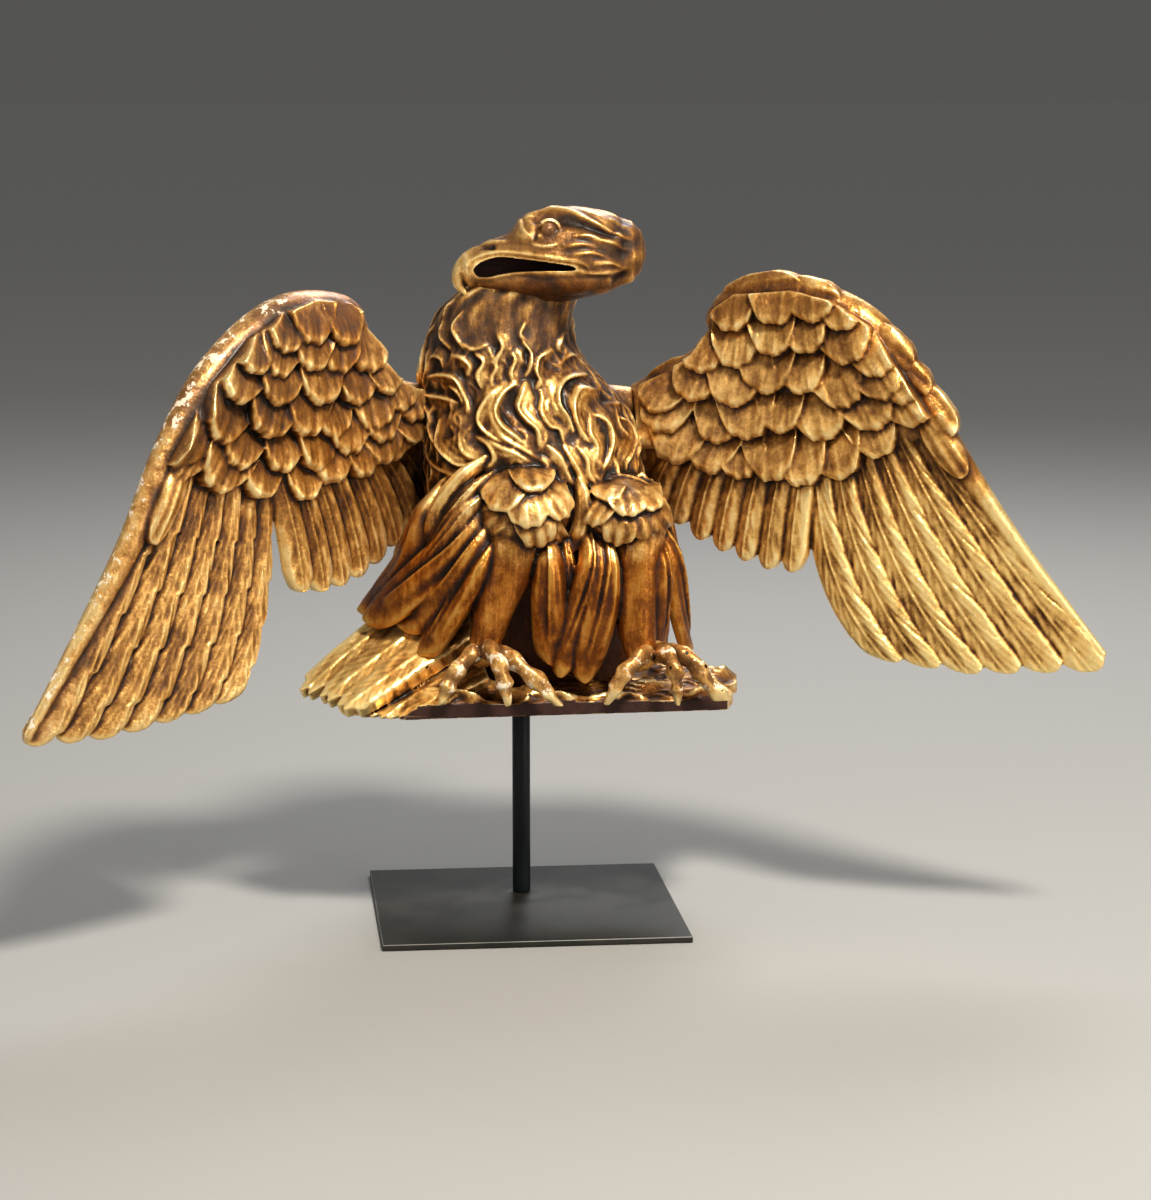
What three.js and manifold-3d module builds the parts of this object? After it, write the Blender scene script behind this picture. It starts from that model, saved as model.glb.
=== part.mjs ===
// A carved and gilded wooden eagle with spread wings, standing on its own rocky base,
// held up by a round steel rod on a square steel plate.
// Millimetres, +Z up, -Y towards the viewer. Left and right are the viewer's.
// The origin is the centre of the plate's underside.
import * as THREE from "three";
import { mergeVertices } from "three/addons/utils/BufferGeometryUtils.js";
import Module from "manifold-3d";

const wasm = await Module();
wasm.setup();

// Driving dimensions
const PLATE_WIDTH = 150;
const PLATE_DEPTH = 147;
const PLATE_THICK = 3;
const PLATE_CHAMFER = 0.4;
const DOME_RADIUS = 17.5; // shallow swelling of the plate round the rod's foot
const DOME_RISE = 0.8;
const ROD_RADIUS = 4.5;
const ROD_X = 0;
const ROD_Y = 20;
const BASE_FLOOR = 106; // height of the wooden base's sawn underside
const JOINT_GAP = 0.3; // play left between pieces that touch
const JOINT_LEFT = -47; // flat shoulder seats that the wings are fixed to
const JOINT_RIGHT = 57;

const { cos, sin, PI, min, max } = Math;
const rad = THREE.MathUtils.degToRad;
const mix = THREE.MathUtils.lerp;
const at = (x, y, z) => new THREE.Vector3(x, y, z);
const range = (count) => Array.from({ length: count }, (_, i) => i);

// Turns a closed geometry into a solid that can be joined and cut, facing outwards.
function solidOf(geometry) {
  const corners = geometry.index ? geometry.toNonIndexed() : geometry;
  const bare = new THREE.BufferGeometry().setAttribute("position", corners.getAttribute("position"));
  const merged = mergeVertices(bare, 1e-4);
  const triVerts = new Uint32Array(merged.index.array);
  const make = () =>
    new wasm.Manifold(
      new wasm.Mesh({ numProp: 3, vertProperties: merged.attributes.position.array, triVerts }),
    );
  const solid = make();
  if (solid.volume() > 0) return solid;
  for (let i = 0; i < triVerts.length; i += 3) {
    [triVerts[i], triVerts[i + 1]] = [triVerts[i + 1], triVerts[i]];
  }
  return make();
}

const solidFrom = (points, faces) =>
  solidOf(new THREE.BufferGeometry().setFromPoints(points).setIndex(faces));

// Leaves out loose chips, and the hollows that joining can seal inside a solid.
const larger = (one, other) => (other.volume() > one.volume() ? other : one);
const largestShell = (solid) => solid.decompose().reduce(larger);

const joined = (solids) => solids.reduce((sum, next) => sum.add(next));

// Skins a row of rings that all have the same number of points. Each end closes on its own point.
function skin(rings, first, last) {
  const sides = rings[0].length;
  const points = [first, ...rings.flat(), last];
  const faces = [];
  const id = (ring, side) => 1 + ring * sides + (side % sides);
  for (const k of range(sides)) {
    faces.push(0, id(0, k + 1), id(0, k));
    faces.push(points.length - 1, id(rings.length - 1, k), id(rings.length - 1, k + 1));
    for (const r of range(rings.length - 1)) {
      faces.push(id(r, k), id(r, k + 1), id(r + 1, k + 1), id(r, k), id(r + 1, k + 1), id(r + 1, k));
    }
  }
  return solidFrom(points, faces);
}

// Closes the space between a front and a back grid of points that have the same rows and columns.
function quilt(front, back) {
  const rows = front.length;
  const columns = front[0].length;
  const points = [...front.flat(), ...back.flat()];
  const faces = [];
  const id = (row, column, side) => side * rows * columns + row * columns + column;
  const quad = (a, b, c, d) => faces.push(a, b, c, a, c, d);
  const last = columns - 1;
  for (const r of range(rows - 1)) {
    for (const c of range(last)) {
      quad(id(r, c, 0), id(r, c + 1, 0), id(r + 1, c + 1, 0), id(r + 1, c, 0));
      quad(id(r, c, 1), id(r + 1, c, 1), id(r + 1, c + 1, 1), id(r, c + 1, 1));
    }
    quad(id(r, 0, 0), id(r + 1, 0, 0), id(r + 1, 0, 1), id(r, 0, 1));
    quad(id(r, last, 0), id(r, last, 1), id(r + 1, last, 1), id(r + 1, last, 0));
  }
  for (const c of range(last)) {
    quad(id(0, c, 0), id(0, c, 1), id(0, c + 1, 1), id(0, c + 1, 0));
    quad(id(rows - 1, c, 0), id(rows - 1, c + 1, 0), id(rows - 1, c + 1, 1), id(rows - 1, c, 1));
  }
  return solidFrom(points, faces);
}

// A limb of oval section through stations [x, y, z, half width, half depth]. Its sections stand
// square to the centre line, and the half width is measured in the direction "wide".
function limb(stations, wide, sides = 8) {
  const centres = stations.map(([x, y, z]) => at(x, y, z));
  const rings = stations.map(([, , , halfWide, halfDeep], i) => {
    const along = centres[min(i + 1, centres.length - 1)].clone().sub(centres[max(i - 1, 0)]).normalize();
    const deep = along.clone().cross(wide).normalize();
    const across = deep.clone().cross(along).normalize();
    return range(sides).map((k) => {
      const angle = (2 * PI * k) / sides;
      return centres[i].clone()
        .addScaledVector(across, halfWide * cos(angle))
        .addScaledVector(deep, halfDeep * sin(angle));
    });
  });
  return skin(rings, centres[0], centres[centres.length - 1]);
}

// A feather blade of four sides with a raised middle. Its route(t), for t from 0 to 1, gives a
// point and the outward normal of what it lies on. A profile lists [t, share of the half width].
const LONG_BLADE = [[0, 0.6], [0.45, 1], [0.88, 0.75]];
const ROUND_SCALE = [[0, 0.6], [0.5, 1], [0.86, 0.78]];
function blade(route, half, rise, sink, profile) {
  const step = 0.02;
  const rings = profile.map(([t, share]) => {
    const { point, normal } = route(t);
    const along = route(min(t + step, 1)).point.clone().sub(route(max(t - step, 0)).point).normalize();
    const across = along.clone().cross(normal).normalize();
    const place = (side, up) => point.clone().addScaledVector(across, side).addScaledVector(normal, up);
    return [place(half * share, 0), place(0, rise), place(-half * share, 0), place(0, -sink)];
  });
  return skin(rings, route(0).point, route(1).point);
}

// Point t on the curve from a root, towards a bend and on to a tip
function bend([root, middle, tip], t) {
  const shares = [(1 - t) * (1 - t), 2 * t * (1 - t), t * t];
  return root.map((value, k) => value * shares[0] + middle[k] * shares[1] + tip[k] * shares[2]);
}

// A spread of feathers side by side in one carved sheet: place(share, t, height) gives points, share
// running across the spread and t from roots to tips. Each feather repeats the same columns, given
// as [share of the feather's length, height of the front], and the first of them is the groove.
// The back lies a thickness behind the front, or at a level of its own.
function spread(place, { count, levels, columns, thick, back }) {
  const strips = range(count).flatMap((i) =>
    columns.map(([end, height], c) => ({ share: (i + c / columns.length) / count, end, height })),
  );
  strips.push({ share: 1, end: columns[0][0], height: columns[0][1] });
  const grid = (heightOf) =>
    levels.map((t) => strips.map(({ share, end, height }) => place(share, end * t, heightOf(height), t)));
  return quilt(grid((height) => height), grid((height) => (back === undefined ? height - thick : back)));
}

// The wings

// A wing is laid out on an upright curved sheet that leaves the shoulder and sweeps forwards: s is
// the way along the sheet, z the height, h the distance in front of it. In each wing:
// arm and hand are centre lines, [s, z, half height, half depth], and the hand is the leading edge;
// slab is the body of the wing under the coverts, [s, lower edge, upper edge];
// a fan of feathers has the root, bend and tip (s, z) of its inner and its outer feather;
// covert rows run from the lowest up, [scales, s and z of the first tip, s and z of the last, sag];
// edge feathers are smooth ones, laid end to end, [s and z of the root, of the tip, half width].
const SPAN = 250;
const LEFT_WING = {
  side: -1, joint: JOINT_LEFT, x: -48, y: 33, sweepRoot: 54, sweepTip: 28,
  arm: [[-16, 236, 22, 12], [12, 249, 15, 12], [30, 258, 10, 10], [44, 264, 10, 10], [60, 276, 10, 9]],
  hand: [
    [57, 290, 6, 7], [63, 293, 11, 11], [77, 297, 13, 12], [94, 300, 12, 12], [114, 297, 11, 11],
    [136, 287, 11, 9], [158, 268, 10, 8], [180, 238, 7.5, 6], [202, 197, 6, 5], [255, 118, 2.5, 2],
  ],
  slab: [
    [-16, 204, 232], [16, 204, 252], [50, 204, 268], [84, 206, 295], [118, 208, 292], [150, 214, 272],
    [176, 228, 246],
  ],
  primaries: {
    count: 8, sag: 4,
    inner: [[118, 228], [112, 165], [138, 124]], outer: [[176, 248], [206, 184], [256, 117]],
  },
  secondaries: {
    count: 9, sag: 15,
    inner: [[34, 240], [8, 232], [-4, 210]], outer: [[120, 226], [110, 200], [107, 171]],
  },
  covertRows: [
    [7, 18, 240, 186, 242, 20],
    [6, 22, 250, 180, 256, 15],
    [5, 30, 258, 166, 272, 6],
    [4, 52, 270, 150, 282, 0],
  ],
  edgeFeathers: [
    [16, 256, 50, 258, 8], [60, 296, 90, 293, 12], [90, 303, 122, 291, 8], [116, 295, 146, 277, 9],
    [142, 283, 164, 260, 8], [158, 268, 180, 238, 9], [170, 248, 191, 215, 7],
  ],
};
const RIGHT_WING = {
  side: 1, joint: JOINT_RIGHT, x: 56, y: 33, sweepRoot: 42, sweepTip: 15,
  arm: [[-16, 236, 22, 12], [10, 248, 15, 12], [30, 262, 12, 11], [46, 272, 11, 11], [62, 284, 10, 9]],
  hand: [
    [51, 294, 7, 7], [58, 297, 12, 11], [74, 301, 13, 12], [96, 303, 13, 12], [116, 300, 12, 11],
    [135, 289, 11, 9], [153, 266, 9, 8], [176, 232, 7, 6], [206, 190, 5.5, 4], [250, 137, 2.5, 2],
  ],
  slab: [
    [-16, 204, 232], [16, 206, 254], [50, 206, 275], [84, 208, 299], [118, 214, 294], [160, 232, 253],
  ],
  primaries: {
    count: 8, sag: 5,
    inner: [[101, 228], [98, 165], [134, 133]], outer: [[166, 240], [200, 198], [251, 134]],
  },
  secondaries: {
    count: 8, sag: 8,
    inner: [[34, 238], [18, 228], [12, 206]], outer: [[106, 226], [102, 200], [101, 173]],
  },
  covertRows: [
    [7, 10, 232, 172, 256, 24],
    [6, 10, 246, 166, 268, 15],
    [5, 30, 262, 158, 274, 8],
    [4, 52, 272, 146, 280, -6],
  ],
  edgeFeathers: [
    [12, 254, 46, 271, 8], [54, 296, 84, 302, 12], [88, 306, 120, 299, 8], [110, 300, 138, 282, 9],
    [130, 288, 154, 262, 8], [148, 267, 170, 241, 8], [156, 250, 180, 220, 7],
  ],
};

function wingSheet({ side, x, y, sweepRoot, sweepTip }) {
  const rootAngle = rad(sweepRoot);
  const turn = rad(sweepRoot - sweepTip) / SPAN;
  return (s, z, h = 0) => {
    const angle = rootAngle - turn * s;
    const out = (sin(rootAngle) - sin(angle)) / turn;
    const forward = (cos(angle) - cos(rootAngle)) / turn;
    return {
      point: at(x + side * (out - h * sin(angle)), y - forward - h * cos(angle), z),
      normal: at(-side * sin(angle), -cos(angle), 0),
    };
  };
}

// The front of the slab bulges forwards towards its upper edge.
const SLAB_LOW = 3;
const SLAB_HIGH = 11;
const SLAB_BACK = -8;

function slabFront(slab, s, z) {
  const next = slab.findIndex(([edge]) => edge >= s);
  const i = next === -1 ? slab.length - 1 : max(next, 1);
  const share = min(1, max(0, (s - slab[i - 1][0]) / (slab[i][0] - slab[i - 1][0])));
  const low = mix(slab[i - 1][1], slab[i][1], share);
  const high = mix(slab[i - 1][2], slab[i][2], share);
  return mix(SLAB_LOW, SLAB_HIGH, min(1, max(0, (z - low) / (high - low))));
}

const PRIMARY = { levels: [0.06, 0.45, 0.85, 1], columns: [[0.94, 0.4], [1, 3.2]], thick: 5, lift: 0 };
const SECONDARY = { levels: [0.06, 0.55, 1], columns: [[0.88, 0.6], [1, 3]], thick: 5, lift: 4 };

function flight(sheet, fan, kind) {
  const place = (share, t, height) => {
    const [s0, z0] = bend(fan.inner, t);
    const [s1, z1] = bend(fan.outer, t);
    const hang = fan.sag * 4 * share * (1 - share) * t;
    return sheet(mix(s0, s1, share), mix(z0, z1, share) - hang, height + kind.lift).point;
  };
  return spread(place, { ...kind, count: fan.count });
}

// Covert scales: the roots sink into the slab and the tips stand off it.
const COVERT = { levels: [0, 1], columns: [[0.64, -2], [0.98, 1.5], [0.98, 1.5]], back: -11 };
const COVERT_LENGTH = 27;
const COVERT_SINK = -4;
const COVERT_STAND = 3;
const COVERT_AIMS = [-25, 42]; // how far the scales turn away from hanging straight down, in degrees

function coverts(sheet, slab, [count, s0, z0, s1, z1, sag]) {
  const place = (share, t, height, level) => {
    const aim = rad(mix(...COVERT_AIMS, share));
    const s = mix(s0, s1, share) - COVERT_LENGTH * (1 - t) * sin(aim);
    const z = mix(z0, z1, share) - sag * 4 * share * (1 - share) + COVERT_LENGTH * (1 - t) * cos(aim);
    const lift = mix(COVERT_SINK, COVERT_STAND, level) + height * level;
    return sheet(s, z, slabFront(slab, s, z) + lift).point;
  };
  return spread(place, { ...COVERT, count });
}

// The arm and the hand, half buried in the front of the slab
function bone(sheet, stations) {
  const across = sheet(SPAN / 2, 0).normal;
  const sides = 7;
  const bulge = 1;
  const placed = stations.map(([s, z, tall, deep]) => [...sheet(s, z, bulge).point, deep, tall]);
  return limb(placed, across, sides);
}

function wingSlab(sheet, stations) {
  const rings = stations.map(([s, low, high]) => {
    const corners = [
      [low, -3], [low + 3, SLAB_LOW], [high, SLAB_HIGH], [high, SLAB_BACK],
      [mix(low, high, 0.3), SLAB_BACK],
    ];
    return corners.map(([z, h]) => sheet(s, z, h).point);
  });
  const middle = ([s, low, high]) => sheet(s, mix(low, high, 0.5)).point;
  return skin(rings, middle(stations[0]), middle(stations[stations.length - 1]));
}

const EDGE_FEATHER = { root: 7, swell: 4, droop: 3, rise: 3.5, sink: 5 };

function edgeFeather(sheet, [s0, z0, s1, z1, half]) {
  const { root, swell, droop, rise, sink } = EDGE_FEATHER;
  const route = (t) => sheet(mix(s0, s1, t), mix(z0, z1, t), root + swell * sin(PI * t) - droop * t);
  return blade(route, half, rise, sink, LONG_BLADE);
}

const ROOMY = 400; // more than the carving's size, for the blocks that cut pieces of it off

function wing(layout) {
  const { side, joint, arm, hand, slab, primaries, secondaries, covertRows, edgeFeathers } = layout;
  const sheet = wingSheet(layout);
  const whole = joined([
    bone(sheet, arm),
    bone(sheet, hand),
    wingSlab(sheet, slab),
    flight(sheet, primaries, PRIMARY),
    flight(sheet, secondaries, SECONDARY),
    ...covertRows.map((row) => coverts(sheet, slab, row)),
    ...edgeFeathers.map((feather) => edgeFeather(sheet, feather)),
  ]);
  const inside = new THREE.BoxGeometry(ROOMY, ROOMY, ROOMY)
    .translate(joint + side * (JOINT_GAP - ROOMY / 2), 0, ROOMY / 2);
  return largestShell(whole.subtract(solidOf(inside)));
}

// The body

// Level sections of the trunk and neck: [height, centre x, centre y, half width, half depth]
const TRUNK = [
  [112, 14, 24, 42, 26], [150, 11, 22, 46, 30], [178, 8, 17, 50, 36], [204, 7, 11, 53, 41],
  [228, 5, 12, 53, 42], [246, 2, 14, 51, 40], [260, -2, 15, 46, 36], [272, -8, 15, 41, 32],
  [284, -10, 13, 36, 29], [298, -8, 11, 34, 26], [307, -4, 9, 32, 24], [315, 2, 6, 28, 21],
  [324, 14, 2, 20, 15],
];

function trunkSection(z) {
  const i = max(1, TRUNK.findIndex(([height]) => height >= z));
  const share = (z - TRUNK[i - 1][0]) / (TRUNK[i][0] - TRUNK[i - 1][0]);
  return TRUNK[i].map((value, k) => mix(TRUNK[i - 1][k], value, share));
}

// A point on the trunk's surface: turn 0 faces the viewer and grows towards +X, in degrees
function onTrunk(turn, z, lift = 0) {
  const [, x, y, halfWide, halfDeep] = trunkSection(z);
  const angle = rad(turn);
  const normal = at(sin(angle) / halfWide, -cos(angle) / halfDeep, 0).normalize();
  return {
    point: at(x + halfWide * sin(angle), y - halfDeep * cos(angle), z).addScaledVector(normal, lift),
    normal,
  };
}

// Flame-like locks of feathers flute the neck and breast: each ridge sways as it comes down, and
// swells and dies away in turn with its neighbours.
const LOCKS = { ridges: 13, top: 306, low: 204, fade: 12, rise: 4.5, groove: -2, sway: 9, wave: 38 };
const TRUNK_LEVELS = [112, 150, 184, ...range(11).map((i) => 206 + 10 * i), 315, 324];

function trunk() {
  const { ridges, top, low, fade, rise, groove, sway, wave } = LOCKS;
  const rings = TRUNK_LEVELS.map((z) =>
    range(2 * ridges).map((k) => {
      const way = (top - z) / wave;
      const strength = min(1, max(0, (z - low) / fade)) * min(1, max(0, (top - z) / fade));
      const swell = 0.6 + 0.4 * cos(2 * PI * (way + (k % 4 === 1 ? 0.5 : 0)));
      const turn = (360 * k) / (2 * ridges) + strength * sway * sin(2 * PI * (way + k * 0.13));
      return onTrunk(turn, z, strength * (k % 2 ? rise * swell : groove)).point;
    }),
  );
  const [bottom, peak] = [TRUNK[0], TRUNK[TRUNK.length - 1]];
  return skin(rings, at(bottom[1], bottom[2], bottom[0]), at(peak[1], peak[2], peak[0]));
}

// The head looks to the left: stations [x, z, half height, half width], from the nape to the beak
const UP = at(0, 0, 1);
const HEAD_Y = -5;
const HEAD = [
  [59, 329, 8, 8], [52, 330, 16, 14], [40, 330, 19, 19], [25, 328.5, 20, 21], [10, 327, 20.5, 20],
  [1, 325, 19.5, 17], [-7, 321, 14.5, 14], [-17, 321, 13, 11], [-25, 320.5, 9.5, 8],
];
const HOOK = [
  [-18, 326, 7, 8], [-27, 323.5, 5.5, 6.5], [-31, 318, 3.5, 4.5], [-30, 312, 2, 2.5], [-27, 308, 0.6, 0.8],
];
const MOUTH = [
  [-25, 318], [-24, 321.5], [-15, 325.5], [4, 326], [25, 322.5], [27, 320.5], [18, 318.5], [-4, 319],
  [-16, 317],
];
const MOUTH_WEB = 4; // wood left between the two sides of the open mouth
const EYE = { x: 11, z: 339, radius: 4.2, out: 15.5 };
const BROW = [[-2, 343, 6, 2], [7, 346, 10, 3.5], [22, 345.5, 13, 3.5], [36, 342, 14, 3], [47, 338, 11, 1]];
const BROW_WIDE = 4;

function head() {
  const along = (stations, sides) =>
    limb(stations.map(([x, z, tall, wide]) => [x, HEAD_Y, z, tall, wide]), UP, sides);
  const parts = [along(HEAD, 10), along(HOOK, 6)];
  for (const side of [-1, 1]) {
    const eye = new THREE.SphereGeometry(EYE.radius, 6, 5).translate(EYE.x, HEAD_Y + side * EYE.out, EYE.z);
    const brow = BROW.map(([x, z, out, tall]) => [x, HEAD_Y + side * out, z, tall, BROW_WIDE]);
    parts.push(solidOf(eye), limb(brow, UP, 6));
  }
  const mouth = new THREE.Shape(MOUTH.map(([x, z]) => new THREE.Vector2(x, z)));
  const depth = 30;
  const slot = new THREE.ExtrudeGeometry(mouth, { depth, bevelEnabled: false }).rotateX(PI / 2);
  const pocket = (back) => solidOf(slot.clone().translate(0, back, 0));
  const pockets = pocket(HEAD_Y - MOUTH_WEB / 2).add(pocket(HEAD_Y + MOUTH_WEB / 2 + depth));
  return joined(parts).subtract(pockets);
}

// Thighs and shins: [x, y, z, half width, half depth]
const THIGHS = [
  [
    [-2, -4, 236, 22, 18], [-6, -18, 222, 26, 23], [-9, -25, 206, 24, 21], [-10, -28, 180, 16, 15],
    [-19, -31, 155, 11, 11], [-24, -34, 136, 8, 8],
  ],
  [
    [42, -2, 226, 20, 18], [44, -16, 213, 23, 21], [48, -22, 197, 21, 19], [55, -26, 174, 14, 14],
    [56, -28, 154, 12, 12], [60, -31, 134, 9, 9],
  ],
];

// Round scales on the knees, placed on an oval dome: [right of the knee's middle, above it]
const KNEES = [
  {
    x: -7, y: -8, z: 208, wide: 36, tall: 34, deep: 38,
    scales: [[-12, -10], [11, -7], [22, 6], [-8, 11], [10, 16], [5, 3]],
  },
  {
    x: 46, y: -6, z: 199, wide: 32, tall: 34, deep: 36,
    scales: [[-16, 12], [13, 2], [-1, 15], [-3, 4]],
  },
];
const KNEE_SCALE = { half: 9, length: 20, rise: 2.5, sink: 4, splay: 0.15, rootLift: -1.5, tipLift: 2.5 };

function kneeScales({ x, y, z, wide, tall, deep, scales }) {
  const { half, length, rise, sink, splay, rootLift, tipLift } = KNEE_SCALE;
  return scales.map(([right, above]) => {
    const route = (t) => {
      const across = right * (1 + splay * t);
      const up = above + length * (0.5 - t);
      const bulge = Math.sqrt(max(0.05, 1 - (across / wide) ** 2 - (up / tall) ** 2));
      const normal = at(across / wide ** 2, -bulge / deep, up / tall ** 2).normalize();
      const point = at(x + across, y - deep * bulge, z + up);
      return { point: point.addScaledVector(normal, mix(rootLift, tipLift, t)), normal };
    };
    return blade(route, half, rise, sink, ROUND_SCALE);
  });
}

// Long smooth feathers that hang from the thighs to the base: [root, bend, tip, half width]
const DRAPES = [
  [[-10, -26, 216], [-50, -14, 186], [-80, 0, 151], 14],
  [[-14, -30, 205], [-44, -20, 178], [-69, -6, 146], 14],
  [[-16, -32, 196], [-38, -32, 165], [-54, -22, 132], 9],
  [[6, -40, 192], [12, -38, 160], [10, -30, 124], 8],
  [[30, -38, 196], [28, -38, 160], [16, -34, 118], 9],
  [[40, -40, 190], [40, -42, 158], [34, -34, 118], 8],
  [[66, -26, 196], [73, -22, 160], [73, -14, 128], 8],
  [[66, -6, 200], [77, 0, 165], [85, 8, 129], 11],
  [[56, 22, 196], [66, 30, 160], [72, 34, 120], 14],
  [[32, 42, 198], [40, 56, 158], [44, 54, 118], 16],
  [[4, 46, 200], [6, 62, 160], [10, 58, 118], 16],
  [[-24, 40, 198], [-28, 52, 158], [-24, 50, 118], 16],
  [[-38, 16, 198], [-52, 28, 160], [-50, 34, 120], 14],
];

const DRAPE = { rise: 4, sink: 6, axisX: 10, axisY: 18, upward: 6 }; // they face away from the trunk

function drape([root, middle, tip, half]) {
  const { rise, sink, axisX, axisY, upward } = DRAPE;
  const route = (t) => {
    const point = at(...bend([root, middle, tip], t));
    return { point, normal: at(point.x - axisX, point.y - axisY, upward).normalize() };
  };
  return blade(route, half, rise, sink, LONG_BLADE);
}

// The tail lies on the base and spreads to the left in two layers.
const TAIL_NORMAL = at(-0.25, -0.72, 0.64).normalize();
const TAIL_LAYERS = [
  {
    count: 4, levels: [0, 0.5, 1], columns: [[0.95, 1], [1, 3]], thick: 8,
    inner: [[-26, -10, 140], [-60, -34, 124], [-84, -36, 108]],
    outer: [[-26, 26, 172], [-72, 10, 150], [-112, -10, 116]],
  },
  {
    count: 4, levels: [0, 0.5, 1], columns: [[0.95, 0.6], [1, 2.4]], thick: 8,
    inner: [[-20, -26, 124], [-44, -44, 116], [-58, -42, 106]],
    outer: [[-26, 16, 140], [-70, -2, 124], [-94, -26, 107]],
  },
];

function tail() {
  return TAIL_LAYERS.map((layer) => {
    const place = (share, t, height) => {
      const onSheet = at(...bend(layer.inner, t)).lerp(at(...bend(layer.outer, t)), share);
      return onSheet.addScaledVector(TAIL_NORMAL, height);
    };
    return spread(place, layer);
  });
}

// Feet: each toe is a limb with swollen knuckles from the ankle to a claw.
const TOES = [
  [[-22, -34, 139], [-36, -46, 136], [-44, -47, 117]],
  [[-22, -36, 139], [-18, -54, 138], [-14, -54, 116]],
  [[-20, -34, 138], [2, -50, 134], [20, -46, 114]],
  [[62, -32, 134], [48, -46, 132], [38, -47, 114]],
  [[62, -34, 134], [68, -52, 134], [70, -50, 113]],
  [[63, -32, 134], [80, -44, 126], [98, -40, 109]],
];
const TOE_SIZES = [[0, 5], [0.3, 4.2], [0.55, 5], [0.85, 4.2], [1, 1.2]];

const TOE_UP = at(0.2, 0.1, 1);
const TOE_SIDES = 5;

const toe = (points) =>
  limb(TOE_SIZES.map(([t, size]) => [...bend(points, t), size, size]), TOE_UP, TOE_SIDES);

// The rocky base, sawn flat below and along the front. Its levels are [height, step in from the
// widest outline, roughness].
const ROCK = { x: 20, y: 12, halfWide: 80, halfDeep: 54, corners: 15 };
const ROCK_TOP = 117;
const ROCK_LEVELS = [
  [BASE_FLOOR, 1, 0], [BASE_FLOOR + 5, 0, 0], [ROCK_TOP - 3, 10, 1], [ROCK_TOP, 28, 1.6],
];
const FRONT_LEFT = [-57, -40];
const FRONT_RIGHT = [100, -32];

function rock() {
  const { x, y, halfWide, halfDeep, corners } = ROCK;
  const rings = ROCK_LEVELS.map(([z, inset, rough]) =>
    range(corners).map((k) => {
      const angle = (2 * PI * k) / corners;
      const wobble = 1 + 0.05 * sin(3 * angle + 1) + 0.04 * sin(7 * angle) + 0.03 * rough * sin(5 * k);
      const right = (halfWide - inset) * wobble * cos(angle);
      const back = (halfDeep - inset) * wobble * sin(angle);
      return at(x + right, y + back, z + 1.2 * rough * sin(7 * k));
    }),
  );
  return skin(rings, at(x, y, BASE_FLOOR), at(x, y, ROCK_TOP + 1));
}

// All that is below the base's underside, and all in front of its sawn front
function sawnAway() {
  const turn = Math.atan2(FRONT_RIGHT[1] - FRONT_LEFT[1], FRONT_RIGHT[0] - FRONT_LEFT[0]);
  const height = 40;
  const front = new THREE.BoxGeometry(ROOMY, ROOMY, height).translate(0, -ROOMY / 2, 0).rotateZ(turn)
    .translate(...FRONT_LEFT, BASE_FLOOR - height / 2 + 8);
  const floor = new THREE.BoxGeometry(ROOMY, ROOMY, ROOMY).translate(0, 0, BASE_FLOOR - ROOMY / 2);
  return solidOf(front).add(solidOf(floor));
}

function shoulder({ side, joint, x, y }) {
  const stations = [
    [x - side * 46, 22, 236, 28, 20],
    [joint - side * 12, y - 4, 234, 27, 17],
    [joint + side * 6, y - 2, 232, 26, 14],
  ];
  return limb(stations, UP, 9);
}

// Room for a wing: all that lies beyond its seat, above and behind the thighs
const WING_ROOM = { front: 2, bottom: 200 };

function wingRoom({ side, joint }) {
  const room = new THREE.BoxGeometry(ROOMY, ROOMY, ROOMY);
  const { front, bottom } = WING_ROOM;
  return solidOf(room.translate(joint + (side * ROOMY) / 2, front + ROOMY / 2, bottom + ROOMY / 2));
}

function body() {
  const parts = [
    trunk(),
    head(),
    rock(),
    ...tail(),
    ...THIGHS.map((stations) => limb(stations, at(1, 0, 0))),
    ...KNEES.flatMap(kneeScales),
    ...DRAPES.map(drape),
    ...TOES.map(toe),
    shoulder(LEFT_WING),
    shoulder(RIGHT_WING),
  ];
  const cuts = [sawnAway(), wingRoom(LEFT_WING), wingRoom(RIGHT_WING)];
  return largestShell(joined(parts).subtract(joined(cuts)));
}

// The mount: a rod that stands on a plate with a shallow dome
const ROUND_SIDES = 24;

function turned(profile) {
  const outline = profile.map(([radius, z]) => new THREE.Vector2(radius, z));
  return solidOf(new THREE.LatheGeometry(outline, ROUND_SIDES).rotateX(PI / 2).translate(ROD_X, ROD_Y, 0));
}

function plate() {
  const [halfWidth, halfDepth] = [PLATE_WIDTH / 2, PLATE_DEPTH / 2];
  const corners = [[-1, -1], [1, -1], [1, 1], [-1, 1]];
  const ring = (inset, z) =>
    corners.map(([x, y]) => at(x * (halfWidth - inset), y * (halfDepth - inset), z));
  const rings = [
    ring(PLATE_CHAMFER, 0),
    ring(0, PLATE_CHAMFER),
    ring(0, PLATE_THICK - PLATE_CHAMFER),
    ring(PLATE_CHAMFER, PLATE_THICK),
  ];
  const slab = skin(rings, at(0, 0, 0), at(0, 0, PLATE_THICK));
  const inPlate = PLATE_THICK / 2;
  const dome = [
    [0, inPlate], [DOME_RADIUS, inPlate], [DOME_RADIUS, PLATE_THICK],
    [DOME_RADIUS * 0.7, PLATE_THICK + DOME_RISE * 0.7], [ROD_RADIUS, PLATE_THICK + DOME_RISE],
    [0, PLATE_THICK + DOME_RISE],
  ];
  return slab.add(turned(dome));
}

function rod() {
  const foot = PLATE_THICK + DOME_RISE + JOINT_GAP;
  const head = BASE_FLOOR - JOINT_GAP;
  return turned([[0, foot], [ROD_RADIUS, foot], [ROD_RADIUS, head], [0, head]]);
}

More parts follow.
